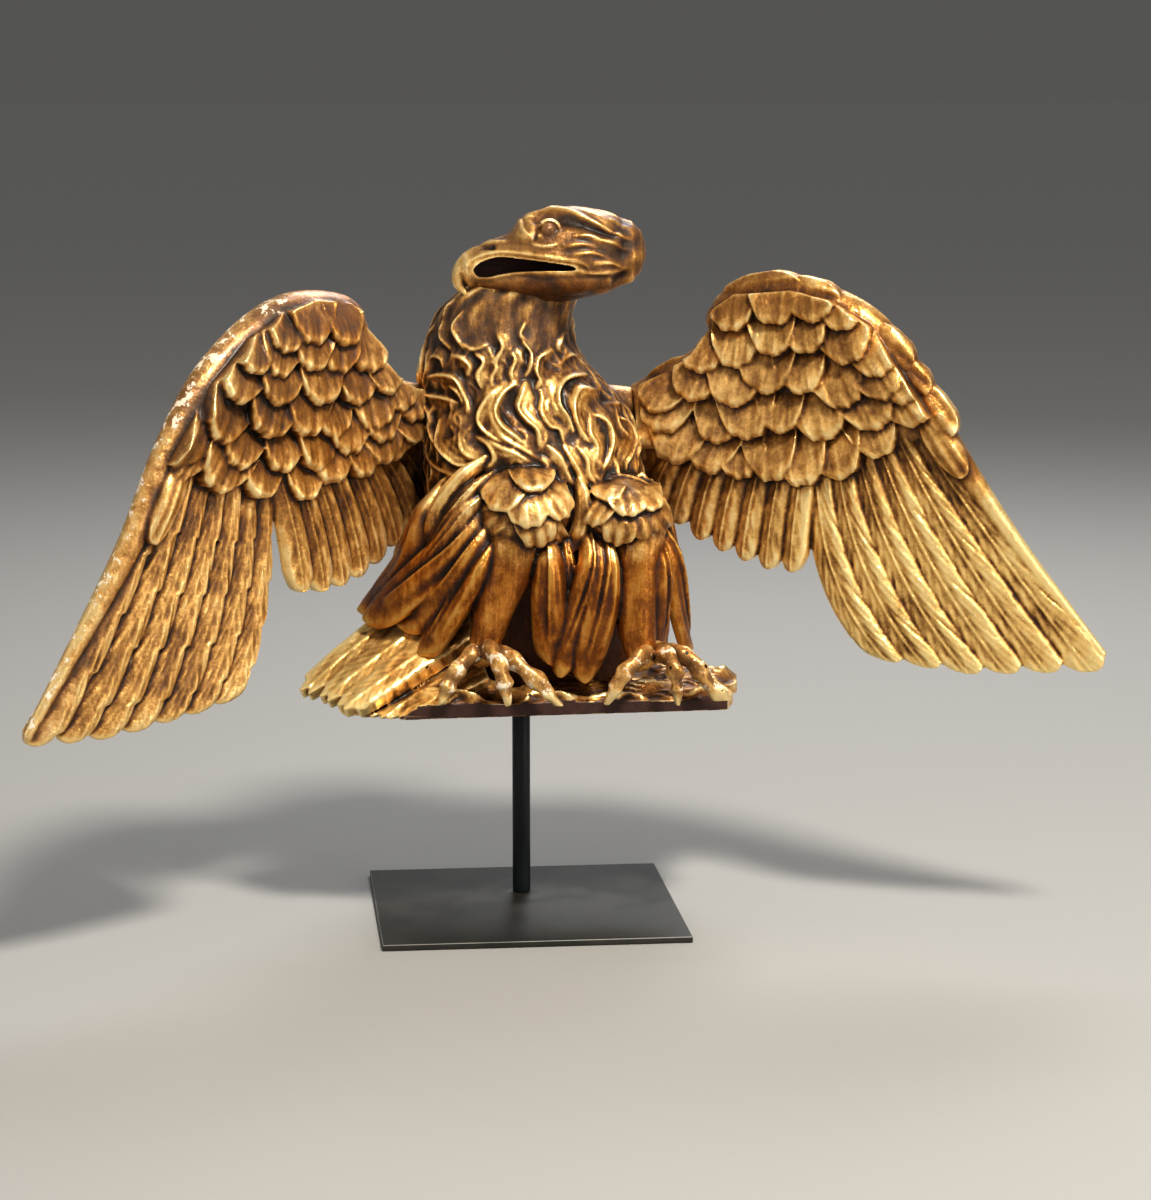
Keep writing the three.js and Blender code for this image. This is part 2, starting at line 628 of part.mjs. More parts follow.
const gilded = () => new THREE.MeshStandardMaterial({ color: 0xa8762c, roughness: 0.45, metalness: 0.6 });
const blackened = () => new THREE.MeshStandardMaterial({ color: 0x22221f, roughness: 0.5, metalness: 0.7 });

const eagle = new THREE.Group();

function node(name, solid, material) {
  const { vertProperties, triVerts } = solid.getMesh();
  const geometry = new THREE.BufferGeometry()
    .setAttribute("position", new THREE.BufferAttribute(vertProperties, 3))
    .setIndex(new THREE.BufferAttribute(triVerts, 1));
  const mesh = new THREE.Mesh(geometry, material);
  mesh.name = name;
  eagle.add(mesh);
}

node("eagle_body", body(), gilded());
node("wing_left", wing(LEFT_WING), gilded());
node("wing_right", wing(RIGHT_WING), gilded());
node("mount_rod", rod(), blackened());
node("base_plate", plate(), blackened());

export default eagle;
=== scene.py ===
import math

import bpy
import numpy as np
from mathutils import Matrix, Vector


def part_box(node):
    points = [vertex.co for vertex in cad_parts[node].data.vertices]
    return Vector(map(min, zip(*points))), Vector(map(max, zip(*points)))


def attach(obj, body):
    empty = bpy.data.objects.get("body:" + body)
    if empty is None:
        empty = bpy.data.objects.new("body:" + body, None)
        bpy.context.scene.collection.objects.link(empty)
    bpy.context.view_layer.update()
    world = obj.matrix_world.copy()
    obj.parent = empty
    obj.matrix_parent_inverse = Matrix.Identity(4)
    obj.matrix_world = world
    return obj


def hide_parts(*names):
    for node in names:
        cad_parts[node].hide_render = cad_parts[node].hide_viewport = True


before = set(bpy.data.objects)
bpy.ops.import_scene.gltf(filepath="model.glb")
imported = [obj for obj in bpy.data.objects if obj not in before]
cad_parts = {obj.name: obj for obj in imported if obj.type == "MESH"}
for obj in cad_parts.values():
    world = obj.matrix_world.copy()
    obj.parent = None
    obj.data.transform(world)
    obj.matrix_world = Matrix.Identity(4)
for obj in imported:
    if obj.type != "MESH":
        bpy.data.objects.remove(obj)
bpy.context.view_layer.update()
bpy.ops.object.select_all(action="DESELECT")

MM = 0.001

# The camera stands in front of the carving, a little to its left and above it, and looks
# slightly down, as in the photograph.
CAMERA_PLACE = Vector((-140.92, -1583.66, 421.88)) * MM
CAMERA_FORWARD = Vector((0.10311, 0.98102, -0.16420))
SENSOR_WIDTH = 36
FOCAL_LENGTH = 97.5
bpy.ops.object.camera_add(location=CAMERA_PLACE)
camera = bpy.context.object
camera.name = "camera"
camera.rotation_mode = "QUATERNION"
camera.rotation_quaternion = CAMERA_FORWARD.to_track_quat("-Z", "Y")
camera.data.sensor_width = SENSOR_WIDTH
camera.data.lens = FOCAL_LENGTH
bpy.context.scene.camera = camera
bpy.context.scene.view_settings.view_transform = "Standard"
bpy.context.scene.view_settings.look = "Medium High Contrast"


# Soft studio light: a warm key high in front, a weaker fill at each side and a rim light behind,
# over a pale floor that runs on into a surround of the same tone.
def softbox(name, place, aim, size, power, colour):
    bpy.ops.object.light_add(type="AREA", location=place)
    lamp = bpy.context.object
    lamp.name = name
    lamp.data.size = size
    lamp.data.energy = power
    lamp.data.color = colour
    lamp.rotation_euler = (Vector(aim) - Vector(place)).to_track_quat("-Z", "Y").to_euler()


HEART = (0, 0, 0.22)
softbox("key_light", (0.4, -1.1, 1.65), HEART, 0.30, 42, (1.0, 0.94, 0.84))
softbox("left_light", (-1.4, -1.3, 0.7), HEART, 0.9, 3.5, (1.0, 0.96, 0.9))
softbox("right_light", (1.5, -1.2, 0.5), HEART, 0.7, 8, (1.0, 0.96, 0.9))
softbox("rim_light", (0.4, 1.1, 1.3), HEART, 0.7, 12, (0.95, 0.97, 1.0))

FLOOR_COLOUR = (0.35, 0.345, 0.335)
SURROUND = 0.25
HORIZON = 1.14  # how much brighter the surround looks than it shines
surround = bpy.data.worlds.new("surround")
bpy.context.scene.world = surround
surround.use_nodes = True
sky = surround.node_tree
light_path = sky.nodes.new("ShaderNodeLightPath")
seen = sky.nodes.new("ShaderNodeBackground")
seen.inputs["Color"].default_value = (*FLOOR_COLOUR, 1)
seen.inputs["Strength"].default_value = SURROUND * HORIZON
pick = sky.nodes.new("ShaderNodeMixShader")
sky.nodes["Background"].inputs["Color"].default_value = (1, 1, 1, 1)
sky.nodes["Background"].inputs["Strength"].default_value = SURROUND
sky.links.new(light_path.outputs["Is Camera Ray"], pick.inputs["Fac"])
sky.links.new(sky.nodes["Background"].outputs[0], pick.inputs[1])
sky.links.new(seen.outputs[0], pick.inputs[2])
sky.links.new(pick.outputs[0], sky.nodes["World Output"].inputs["Surface"])

FLOOR_SIZE = 60
FLOOR_DROP = 0.2 * MM
bpy.ops.mesh.primitive_plane_add(size=FLOOR_SIZE, location=(0, 0, -FLOOR_DROP))
floor = bpy.context.object
floor.name = "floor"
pale = bpy.data.materials.new("pale_floor")
pale.use_nodes = True
matt = pale.node_tree.nodes["Principled BSDF"]
matt.inputs["Base Color"].default_value = (*FLOOR_COLOUR, 1)
matt.inputs["Roughness"].default_value = 0.9
floor.data.materials.append(pale)


# The wings are carved from two boards that sweep forwards: a smooth arm and hand along the
# leading edge, rows of round fluted scales below them, and long flight feathers at the bottom.
# All is cut from one block each, so each wing is built of overlapping solids and then fused.
def blend(low, high, share):
    return low + (high - low) * share


def wavering(number):
    """A fixed value from 0 to 1 that differs from number to number, for a carver's unevenness"""
    return np.modf(np.abs(np.sin(np.asarray(number) * 12.9898 + 4.1) * 43758.5453))[0]


def as_points(x, y, z):
    """Points from their three coordinates, each an array or one number"""
    return np.stack(np.broadcast_arrays(x, y, z), -1)


def feather_grid(rows, columns, start=0):
    """Shares t from a feather's root to its tip, and v across it from -1 to 1"""
    return np.linspace(start, 1, rows)[:, None], np.linspace(-1, 1, columns)[None]


def through(stations, count):
    """A smooth run of count rows through the given rows of numbers"""
    rows = np.array(stations, float)
    last = len(rows) - 1
    rows = np.vstack([2 * rows[0] - rows[1], rows, 2 * rows[-1] - rows[-2]])
    way = np.linspace(0, last, count)
    step = np.minimum(way.astype(int), last - 1)
    f = (way - step)[:, None]
    a, b, c, d = rows[step], rows[step + 1], rows[step + 2], rows[step + 3]
    bend, turn = 2 * a - 5 * b + 4 * c - d, 3 * b - a - 3 * c + d
    return 0.5 * (2 * b + (c - a) * f + bend * f**2 + turn * f**3)


def curve(points, t):
    """Points at t on the curve from a root, towards a bend and on to a tip"""
    root, middle, tip = (np.array(p, float) for p in points)
    t = np.asarray(t)[..., None]
    return root * (1 - t) ** 2 + 2 * middle * t * (1 - t) + tip * t**2


def unit(vectors):
    return vectors / np.maximum(np.linalg.norm(vectors, axis=-1, keepdims=True), 1e-9)


def grid_cells(index):
    """The four corners of each cell in a grid of point numbers"""
    return np.stack([index[:-1, :-1], index[:-1, 1:], index[1:, 1:], index[1:, :-1]], -1).reshape(-1, 4)


def halved(quads):
    """Two triangles for each face with four corners"""
    return np.concatenate([quads[:, [0, 1, 2]], quads[:, [0, 2, 3]]])


def shell(front, back):
    """The closed solid between two grids of points, as corner points and triangles"""
    rows, columns = front.shape[:2]
    half = rows * columns
    points = np.concatenate([front.reshape(-1, 3), back.reshape(-1, 3)])
    index = np.arange(half).reshape(rows, columns)
    quads = grid_cells(index)
    rim = np.concatenate([index[0], index[1:, -1], index[-1, -2::-1], index[-2:0:-1, 0]])
    onward = np.roll(rim, -1)
    sides = np.stack([onward, rim, rim + half, onward + half], -1)
    return points, halved(np.concatenate([quads, quads[:, ::-1] + half, sides]))


def tube(rings, first, last):
    """The closed solid through a row of rings, with a point at each end"""
    count, sides = rings.shape[:2]
    points = np.concatenate([[first], rings.reshape(-1, 3), [last]])
    index = 1 + np.arange(count * sides).reshape(count, sides)
    index = np.concatenate([index, index[:, :1]], 1)
    start = np.stack([np.zeros(sides, int), index[0, 1:], index[0, :-1]], -1)
    end = np.stack([np.full(sides, len(points) - 1), index[-1, :-1], index[-1, 1:]], -1)
    return points, np.concatenate([halved(grid_cells(index)), start, end])


DOME = np.radians([75, 50, 25])  # how far round a limb's domed end each of its rings lies


def limb(stations, wide, count=50, sides=48):
    """A limb of oval section with domed ends through stations [x, y, z, half width, half depth]"""
    rows = through(stations, count)
    centre, size = rows[:, :3], np.maximum(rows[:, 3:5], 0.2)
    along = unit(np.gradient(centre, axis=0))
    head = size[0].min() * np.sin(DOME)[:, None]
    foot = size[-1].min() * np.sin(DOME[::-1])[:, None]
    centre = np.concatenate([centre[0] - along[0] * head, centre, centre[-1] + along[-1] * foot])
    size = np.concatenate([size[0] * np.cos(DOME)[:, None], size, size[-1] * np.cos(DOME[::-1])[:, None]])
    along = np.concatenate([np.repeat(along[:1], 3, 0), along, np.repeat(along[-1:], 3, 0)])
    deep = unit(np.cross(along, np.array(wide, float)))
    across = unit(np.cross(deep, along))
    angle = np.linspace(0, 2 * np.pi, sides, endpoint=False)[None, :, None]
    rings = (
        centre[:, None]
        + across[:, None] * size[:, None, :1] * np.cos(angle)
        + deep[:, None] * size[:, None, 1:] * np.sin(angle)
    )
    return tube(rings, centre[0], centre[-1])


def only(piece):
    """Makes a piece the one selected and active object"""
    bpy.ops.object.select_all(action="DESELECT")
    piece.select_set(True)
    bpy.context.view_layer.objects.active = piece


def new_piece(name, points, faces):
    """A new object of points in mm and faces, selected and active"""
    mesh = bpy.data.meshes.new(name)
    mesh.from_pydata(points * MM, [], faces)
    piece = bpy.data.objects.new(name, mesh)
    bpy.context.collection.objects.link(piece)
    only(piece)
    return piece


def work(piece, kind, **settings):
    """Gives a piece one modifier with its settings, and applies it"""
    only(piece)
    modifier = piece.modifiers.new(kind, kind)
    for name, value in settings.items():
        setattr(modifier, name, value)
    bpy.ops.object.modifier_apply(modifier=modifier.name)


def fused(name, solids, voxel):
    """Fuses overlapping solids into the one closed surface that a carver leaves"""
    points, faces, total = [], [], 0
    for solid_points, solid_faces in solids:
        points.append(solid_points)
        faces.append(solid_faces + total)
        total += len(solid_points)
    piece = new_piece(name, np.concatenate(points), np.concatenate(faces))
    voxel_size = voxel * MM * 1
    work(piece, "REMESH", mode="VOXEL", voxel_size=voxel_size, use_smooth_shade=True)
    return piece


MOST_TRIANGLES = 190000


def lighten(piece):
    """Leaves out the triangles that the flatter places don't need"""
    count = sum(len(face.vertices) - 2 for face in piece.data.polygons)
    if count > MOST_TRIANGLES:
        work(piece, "DECIMATE", ratio=MOST_TRIANGLES / count)


UP = (0, 0, 1)
SPAN = 250
# A wing is laid out on a curved sheet, by mm along it and height. Arm and hand: along, height, half
# height, half depth. Board: along, lower edge, upper edge. Fans run between two curves, scales are
# given by their tips, and edge feathers run from one place to another with a half width.
LEFT_WING = dict(
    side=-1, joint=-47, x=-48, y=33, sweep_root=54, sweep_tip=28, edge_stand=4.2,
    arm=[[-12, 236, 20, 12], [12, 249, 15, 12], [30, 258, 10, 10], [44, 264, 10, 10], [60, 280, 10, 9]],
    hand=[
        [62, 292, 11, 10], [70, 297, 14, 12], [94, 301, 13, 12], [114, 298, 12, 11],
        [136, 287, 11, 9], [158, 268, 10, 8], [180, 238, 7.5, 6], [202, 197, 6, 5], [252, 121, 2.5, 2],
    ],
    slab=[
        [-16, 204, 232], [16, 210, 252], [50, 214, 268], [84, 216, 295], [118, 221, 292], [150, 227, 272],
        [176, 238, 247],
    ],
    primaries=dict(
        count=7, sag=4, ragged=0.26, vane=0.35, camber=1.3, over=-1, quill=0.5,
        inner=[[118, 228], [112, 165], [138, 124]], outer=[[176, 248], [206, 184], [256, 117]],
    ),
    secondaries=dict(
        count=8, sag=15, ragged=0.0, vane=0.7, camber=1.0, over=-1, quill=1.3,
        inner=[[34, 240], [8, 232], [-4, 210]], outer=[[120, 226], [110, 200], [107, 171]],
    ),
    scale_rows=[
        [
            [22, 236], [34, 229], [46, 227], [62, 222], [85, 221], [103, 215], [131, 219], [159, 226],
            [177, 235],
        ],
        [[26, 246], [50, 238], [75, 234], [95, 228], [119, 230], [147, 235], [182, 242]],
        [[37, 252], [57, 244], [84, 243], [105, 246], [130, 248], [158, 248]],
        [[48, 262], [70, 258], [96, 260], [124, 262], [150, 266]],
        [[64, 273], [84, 274], [104, 277], [126, 276], [142, 279]],
        [[81, 287], [103, 289], [122, 287]],
    ],
    edge_feathers=[
        [33, 267, 54, 262, 7], [74, 291, 96, 280, 9], [96, 296, 124, 282, 9], [118, 293, 146, 273, 9],
        [138, 281, 163, 254, 8.5], [157, 263, 178, 231, 7], [172, 241, 190, 205, 6],
    ],
)
RIGHT_WING = dict(
    side=1, joint=57, x=56, y=33, sweep_root=42, sweep_tip=15, edge_stand=2.4,
    arm=[[-12, 236, 20, 12], [10, 248, 15, 12], [30, 262, 12, 11], [46, 272, 11, 11], [62, 286, 10, 9]],
    hand=[
        [57, 295, 11, 10], [66, 300, 13, 12], [96, 303, 13, 12], [116, 300, 12, 11],
        [135, 289, 11, 9], [153, 266, 9, 8], [176, 233, 6, 6], [206, 191.5, 4, 4], [247, 140.5, 2, 2],
    ],
    slab=[
        [-16, 204, 232], [16, 212, 254], [50, 214, 275], [84, 218, 299], [118, 227, 294], [160, 243, 255],
    ],
    primaries=dict(
        count=6, sag=5, ragged=0.05, vane=1.1, camber=0.9, over=1, quill=1.7,
        inner=[[101, 228], [98, 165], [134, 133]], outer=[[166, 240], [200, 198], [251, 134]],
    ),
    secondaries=dict(
        count=7, sag=8, ragged=0.0, vane=0.6, camber=2.3, over=1, quill=1.5,
        inner=[[34, 238], [18, 228], [12, 206]], outer=[[106, 226], [102, 200], [101, 173]],
    ),
    scale_rows=[
        [
            [14, 231], [31, 224], [50, 220], [70, 218], [87, 218], [104, 217], [122, 221], [142, 233],
            [161, 250],
        ],
        [[25, 239], [56, 235], [74, 238], [91, 242], [115, 240], [142, 247], [158, 261]],
        [[22, 250], [44, 256], [66, 254], [84, 261], [104, 262], [127, 257], [147, 262]],
        [[50, 270], [69, 273], [89, 280], [107, 282], [128, 278], [144, 273]],
        [[67, 291], [90, 295], [110, 297], [126, 294]],
    ],
    edge_feathers=[
        [14, 258, 43, 274, 8], [44, 277, 66, 285, 9], [61, 308, 98, 314, 9], [90, 313, 118, 307, 8],
        [101, 304, 128, 298, 9], [118, 299, 140, 284, 9], [134, 294, 153, 276, 9], [144, 280, 162, 265, 8],
        [131, 280, 156, 262, 8], [158, 267, 174, 245, 8], [160, 254, 180, 226, 7],
    ],
)

# How far the board behind the scales reaches in front of the wing's sheet, and behind it
SLAB_LOW = 3
SLAB_HIGH = 11
SLAB_BACK = -8
# The plain feathers cut on the wing's back
BACK_FEATHER = dict(width=17, length=19, deep=1.5)


def sweep(wing):
    """How far forwards the wing's sheet turns at its root, and how much less with each mm"""
    return math.radians(wing["sweep_root"]), math.radians(wing["sweep_root"] - wing["sweep_tip"]) / SPAN


def along_wing(wing, x):
    """How far along the wing's sheet a point lies, from its x"""
    root, turn = sweep(wing)
    out = wing["side"] * (x - wing["x"])
    return (root - np.arcsin(np.clip(math.sin(root) - turn * out, -1, 1))) / turn


def on_sheet(wing, s, z, h):
    """The point s along the wing's curved sheet, at height z and h in front of it"""
    root, turn = sweep(wing)
    angle = root - turn * s
    out = (math.sin(root) - np.sin(angle)) / turn
    forward = (np.cos(angle) - math.cos(root)) / turn
    x = wing["x"] + wing["side"] * (out - h * np.sin(angle))
    y = wing["y"] - forward - h * np.cos(angle)
    return as_points(x, y, z)


def slab_edges(wing, s):
    """Heights of the board's lower and upper edge"""
    s0, low, high = np.array(wing["slab"], float).T
    return np.interp(s, s0, low), np.interp(s, s0, high)


def slab_front(wing, s, z):
    low, high = slab_edges(wing, s)
    return blend(SLAB_LOW, SLAB_HIGH, np.clip((z - low) / (high - low), 0, 1))


def wing_top(wing, s):
    """Height of the wing's upper edge"""
    edge = np.array(wing["arm"][:-1] + wing["hand"], float)
    return np.interp(s, edge[:, 0], edge[:, 1] + edge[:, 2])


def slab(wing):
    """The board behind the scales, with plain shallow feathers cut on its back"""
    s = np.linspace(wing["slab"][0][0], wing["slab"][-1][0], 200)[:, None]
    low, high = slab_edges(wing, s)
    share = np.linspace(0, 1, 110)[None]
    z = blend(low, high, share)
    thin = np.clip(share / 0.12, 0, 1)
    down = (high - z) / BACK_FEATHER["length"]
    rounded = np.sqrt(np.abs(np.sin(np.pi * (s / BACK_FEATHER["width"] + 0.5 * np.floor(down)))))
    cut = BACK_FEATHER["deep"] * rounded + BACK_FEATHER["deep"] * np.modf(down)[0]
    front = on_sheet(wing, s, z, blend(SLAB_LOW, SLAB_HIGH, share))
    back = on_sheet(wing, s, z, blend(-3.0, SLAB_BACK + 1.5, thin) - cut * thin)
    return shell(front, back)


def bone(wing, stations):
    across = on_sheet(wing, SPAN / 2, 0.0, 1.0) - on_sheet(wing, SPAN / 2, 0.0, 0.0)
    placed = [[*on_sheet(wing, s, z, 1.0), deep, tall] for s, z, tall, deep in stations]
    return limb(placed, across, 90)


# A flight feather: two round vanes on either side of a thin quill, with soft barbs and a few long
# slashes that run from the edge towards the root, all in mm
PRIMARY = dict(
    start=-0.08, overlap=1.2, tip=0.05, lift=0.3, barb=0.22, slashes=2, deep=1.5,
    length=135, reach=36,
)
SECONDARY = dict(
    start=-0.08, overlap=1.2, tip=0.16, lift=3.6, barb=0.12, slashes=0, deep=1.0,
    length=60, reach=16,
)


TOOTH_LENGTH = 27
BARB_LENGTH = 12
SLASH_WIDTH = 2.6


def slashes(cut, seed, slant, v):
    """How deep, from 0 to 1, the few long cuts go that run in from both edges of a feather"""
    deep = 0 * slant
    for k in range(cut["slashes"]):
        for edge in (-1, 1):
            nick = wavering(seed * 1.7 + k * 3.1 + edge)
            start = cut["length"] * (0.02 + (k + nick) / (cut["slashes"] + 0.6)) - 0.5 * cut["reach"]
            near = np.exp(-(((slant - start) / SLASH_WIDTH) ** 2)) * np.clip((np.abs(v) - 0.34) / 0.25, 0, 1)
            deep = np.maximum(deep, near * (v * edge > 0) * (0.35 + 0.65 * wavering(nick * 9)))
    return deep


def flight_feathers(wing, fan, cut):
    solids = []
    t, v = feather_grid(190, 57, cut["start"])
    a = np.abs(v)
    for i in range(fan["count"]):
        seed = i * 7 + 3 * wing["side"]
        uneven = wavering(seed)
        end = 1 - cut["tip"] * a**2.4 + 0.02 * (uneven - 0.5)
        way = t * end
        u = way * cut["length"]
        tooth = np.modf(u / TOOTH_LENGTH + 3 * wavering(seed + 0.3))[0]
        ragged = 1 - fan["ragged"] * (1 - tooth) ** 2 * (v * fan["over"] > 0) * np.clip(6 * way, 0, 1)
        share = (i + 0.5 + 0.5 * cut["overlap"] * v * ragged) / fan["count"]
        inner, outer = curve(fan["inner"], way), curve(fan["outer"], way)
        place = inner + (outer - inner) * share[..., None]
        droop = fan["sag"] * 4 * share * (1 - share) * way
        quill = fan["quill"] * np.exp(-((v / 0.085) ** 2)) * (1 - 0.35 * way)
        vane = fan["vane"] * np.sin(np.pi * np.clip((a - 0.08) / 0.92, 0, 1)) ** 0.8
        slant = u - cut["reach"] * a
        wave = 2 * np.pi * slant / BARB_LENGTH + (2 + seed) * (v > 0) + 1.5 * np.sin(2.4 * way + seed)
        streak = np.cos(2 * np.pi * (1.4 * a + 0.5 * way) + seed + 2 * (v > 0))
        worn = 0.16 * np.sin(u / 3.7 + 2 * np.sin(5 * v + seed)) * np.sin(4.3 * v + u / 9 + seed)
        barb = cut["barb"] * (np.cos(wave) + streak) * np.sin(np.pi * a) + worn
        height = cut["lift"] + 1.0 + fan["camber"] * (1 - a**2) + quill + vane + barb
        height = height - cut["deep"] * slashes(cut, seed, slant, v)
        height = height + 1.7 * v * fan["over"] - 1.2 * a**10 - 1.0 * np.clip((t - 0.92) / 0.08, 0, 1) ** 3
        back = cut["lift"] - 3.4 + 0.7 * np.cos(2 * np.pi * v) - 0.6 * a**6
        front_points = on_sheet(wing, place[..., 0], place[..., 1] - droop, height)
        back_points = on_sheet(wing, place[..., 0], place[..., 1] - droop, back + 0 * way)
        solids.append(shell(front_points, back_points))
    return solids


# Scales: short round feathers like shells, softly fluted from the root, with a thick lobed edge
SCALE = dict(width=30, length=31, sink=-4.5, stand=4.4, camber=4.2, flute=0.45, thick=7)


def lobes(v, seed):
    """Runs through one turn for each of the three or four lobes across a scale"""
    return 2 * np.pi * ((2.6 + 1.6 * wavering(seed)) * v * 0.5 + wavering(seed + 0.3))


def shell_relief(t, v, seed, flute, camber):
    """Height of a scale's front: rounded across, fluted towards its lobed edge"""
    fan = np.cos(lobes(v, seed) + 0.5 * np.sin(3 * t + seed))
    fine = 0.16 * np.cos(2.1 * lobes(v, seed + 0.6) + 1.0 * t)
    belly = np.sin(np.pi * np.clip(t**1.3 * 0.72, 0, 1)) - 0.5 * np.clip((t - 0.9) / 0.1, 0, 1) ** 2
    return camber * (1 - np.abs(v) ** 3) * belly + (flute * fan + fine) * t


def scale_outline(t, v, seed, width, length, tip, lean):
    """Both coordinates of a scale's points, from its root to its lobed round edge at the tip"""
    notch = 0.016 * (1 - np.cos(lobes(v, seed))) + 0.008 * np.cos(3.1 * lobes(v, seed + 0.4))
    end = np.sqrt(np.maximum(1 - 0.94 * np.abs(v) ** 2.5, 0.05)) - notch
    across = v * width / 2 * (0.5 + 0.5 * np.sin(np.pi / 2 * np.clip(t * 1.25, 0, 1)))
    short = length * t * end - length
    c, s = math.cos(math.radians(lean)), math.sin(math.radians(lean))
    return tip[0] + across * c + short * s, tip[1] + across * s - short * c


# How far the scales lean outwards, in degrees, at three places along the wing
LEAN_PLACES = (10, 80, 180)
LEAN_DEGREES = (-28, 4, 44)
LEAN_UNEVEN = 14


def scales(wing):
    solids = []
    t, v = feather_grid(46, 51)
    seed = wing["side"] * 3
    for tips in wing["scale_rows"]:
        for tip in tips:
            seed += 1
            lean = np.interp(tip[0], LEAN_PLACES, LEAN_DEGREES) + LEAN_UNEVEN * (wavering(seed) - 0.5)
            size = blend(0.8, 1.14, wavering(seed + 0.7))
            width, length = SCALE["width"] * size, SCALE["length"] * size
            s, z = scale_outline(t, v, seed, width, length, tip, lean)
            z = np.minimum(z, wing_top(wing, s) - 4)
            ground = slab_front(wing, s, z)
            rise = blend(SCALE["sink"], SCALE["stand"] + 2 * wavering(seed + 0.1), t)
            tilt = 4 * (wavering(seed + 0.9) - 0.5) * v * t
            front = ground + rise + tilt + shell_relief(t, v, seed, SCALE["flute"], SCALE["camber"])
            front = front - 1.8 * v**8 * t
            back = ground + rise - blend(2.0, SCALE["thick"], t)
            solids.append(shell(on_sheet(wing, s, z, front), on_sheet(wing, s, z, np.maximum(back, -6.5))))
    return solids


def edge_feathers(wing):
    """Smooth plump feathers laid end to end along the leading edge and the arm"""
    solids = []
    t, v = feather_grid(50, 31)
    for i, (s0, z0, s1, z1, half) in enumerate(wing["edge_feathers"]):
        run = np.array([s1 - s0, z1 - z0])
        length = np.linalg.norm(run)
        run = run / length
        side = np.array([-run[1], run[0]])
        body = 0.55 + 0.45 * np.sin(np.pi / 2 * np.clip(t * 1.6, 0, 1))
        end = np.sqrt(np.maximum(1 - 0.55 * np.abs(v) ** 2.5, 0.05))
        across = v * half * body
        along = length * (t * 1.12 - 0.08) * end
        s = s0 + run[0] * along + side[0] * across
        z = z0 + run[1] * along + side[1] * across
        middle = 7.2 + wing["edge_stand"] * np.sin(np.pi * np.clip(t * 0.85 + 0.05, 0, 1)) + 1.8 * t
        front = middle - 2.6 * v**2 + 0.6 * np.cos(2 * np.pi * (1.3 * v + wavering(i))) * t
        solids.append(shell(on_sheet(wing, s, z, front), on_sheet(wing, s, z, middle - 9 + 0 * v)))
    return solids


def carve_wing(name, wing, voxel):
    solids = [
        bone(wing, wing["arm"]),
        bone(wing, wing["hand"]),
        slab(wing),
        *flight_feathers(wing, wing["primaries"], PRIMARY),
        *flight_feathers(wing, wing["secondaries"], SECONDARY),
        *scales(wing),
        *edge_feathers(wing),
    ]
    kept = []
    for points, faces in solids:
        beyond = wing["side"] * (wing["joint"] - points[:, 0])
        points[:, 0] += wing["side"] * np.maximum(beyond, 0) * 0.999
        kept.append((points, faces))
    return fused(name, kept, voxel)


# The gilding is worn. Masks follow the carving's own relief, so that ridges are rubbed bright and
# hollows stay dark, with dirt and painted shade, and others say where there is brown patina, bright
# gold, bare gesso, amber varnish, sawn wood or worm, and where shade is painted into gaps and under the jaw.
def smooth(low, high, value):
    t = np.clip((value - low) / (high - low), 0, 1)
    return t * t * (3 - 2 * t)


def points_of(piece):
    """The places and normals of a piece's corners, in mm"""
    mesh = piece.data
    place, normal = np.empty(len(mesh.vertices) * 3), np.empty(len(mesh.vertices) * 3)
    mesh.vertices.foreach_get("co", place)
    mesh.vertex_normals.foreach_get("vector", normal)
    return place.reshape(-1, 3) / MM, normal.reshape(-1, 3)


def paint(piece, name, red, green, blue):
    count = len(piece.data.vertices)
    layer = piece.data.color_attributes.new(name, "FLOAT_COLOR", "POINT")
    channels = [np.clip(np.broadcast_to(channel, count), 0, 1) for channel in (red, green, blue, 1.0)]
    layer.data.foreach_set("color", np.stack(channels, -1).ravel())


SPREAD = (3, 5, 32, 110)  # rounds of smoothing: to settle, then for fine, middling and broad relief
RELIEF_DEPTHS = (0.22, 0.8, 1.9)  # the depth in mm at which each of the three is full


# The gilding paints dirt and painted shade into the low points of these masks, and rubs the high points
# bright
def mask_relief(piece):
    """Stores how far each point stands out at those three scales, and gives the points"""
    place, normal = points_of(piece)
    count = len(place)
    ends = np.empty(len(piece.data.edges) * 2, dtype=np.int32)
    piece.data.edges.foreach_get("vertices", ends)
    first, second = ends.reshape(-1, 2).T
    degree = np.bincount(ends, minlength=count)

    def spread(values, rounds):
        values = list(values.T)
        for _ in range(rounds):
            values = [
                0.5 * column + 0.5 * (
                    np.bincount(first, weights=column[second], minlength=count)
                    + np.bincount(second, weights=column[first], minlength=count)
                ) / degree
                for column in values
            ]
        return np.stack(values, -1)

    still = spread(place, SPREAD[0])
    stages = [still]
    for rounds in SPREAD[1:]:
        stages.append(spread(stages[-1], rounds))
    depths = [((still - stage) * normal).sum(1) for stage in stages[1:]]
    paint(piece, "relief", *(0.5 + 0.5 * depth / limit for depth, limit in zip(depths, RELIEF_DEPTHS)))
    return place, normal


def calm(piece, share):
    """Makes a piece's middling and broad relief count for less, by a share at each point"""
    layer = piece.data.color_attributes["relief"]
    masks = np.empty(len(piece.data.vertices) * 4)
    layer.data.foreach_get("color", masks)
    masks = masks.reshape(-1, 4)
    masks[:, 1:3] = 0.5 + (masks[:, 1:3] - 0.5) * (1 - np.clip(share, 0, 1)[:, None])
    layer.data.foreach_set("color", masks.ravel())


def feed(tree, node, feeds):
    """Feeds a node's sockets from values or from other nodes' sockets"""
    for place, source in feeds.items():
        if isinstance(source, bpy.types.NodeSocket):
            tree.links.new(source, node.inputs[place])
        else:
            node.inputs[place].default_value = source


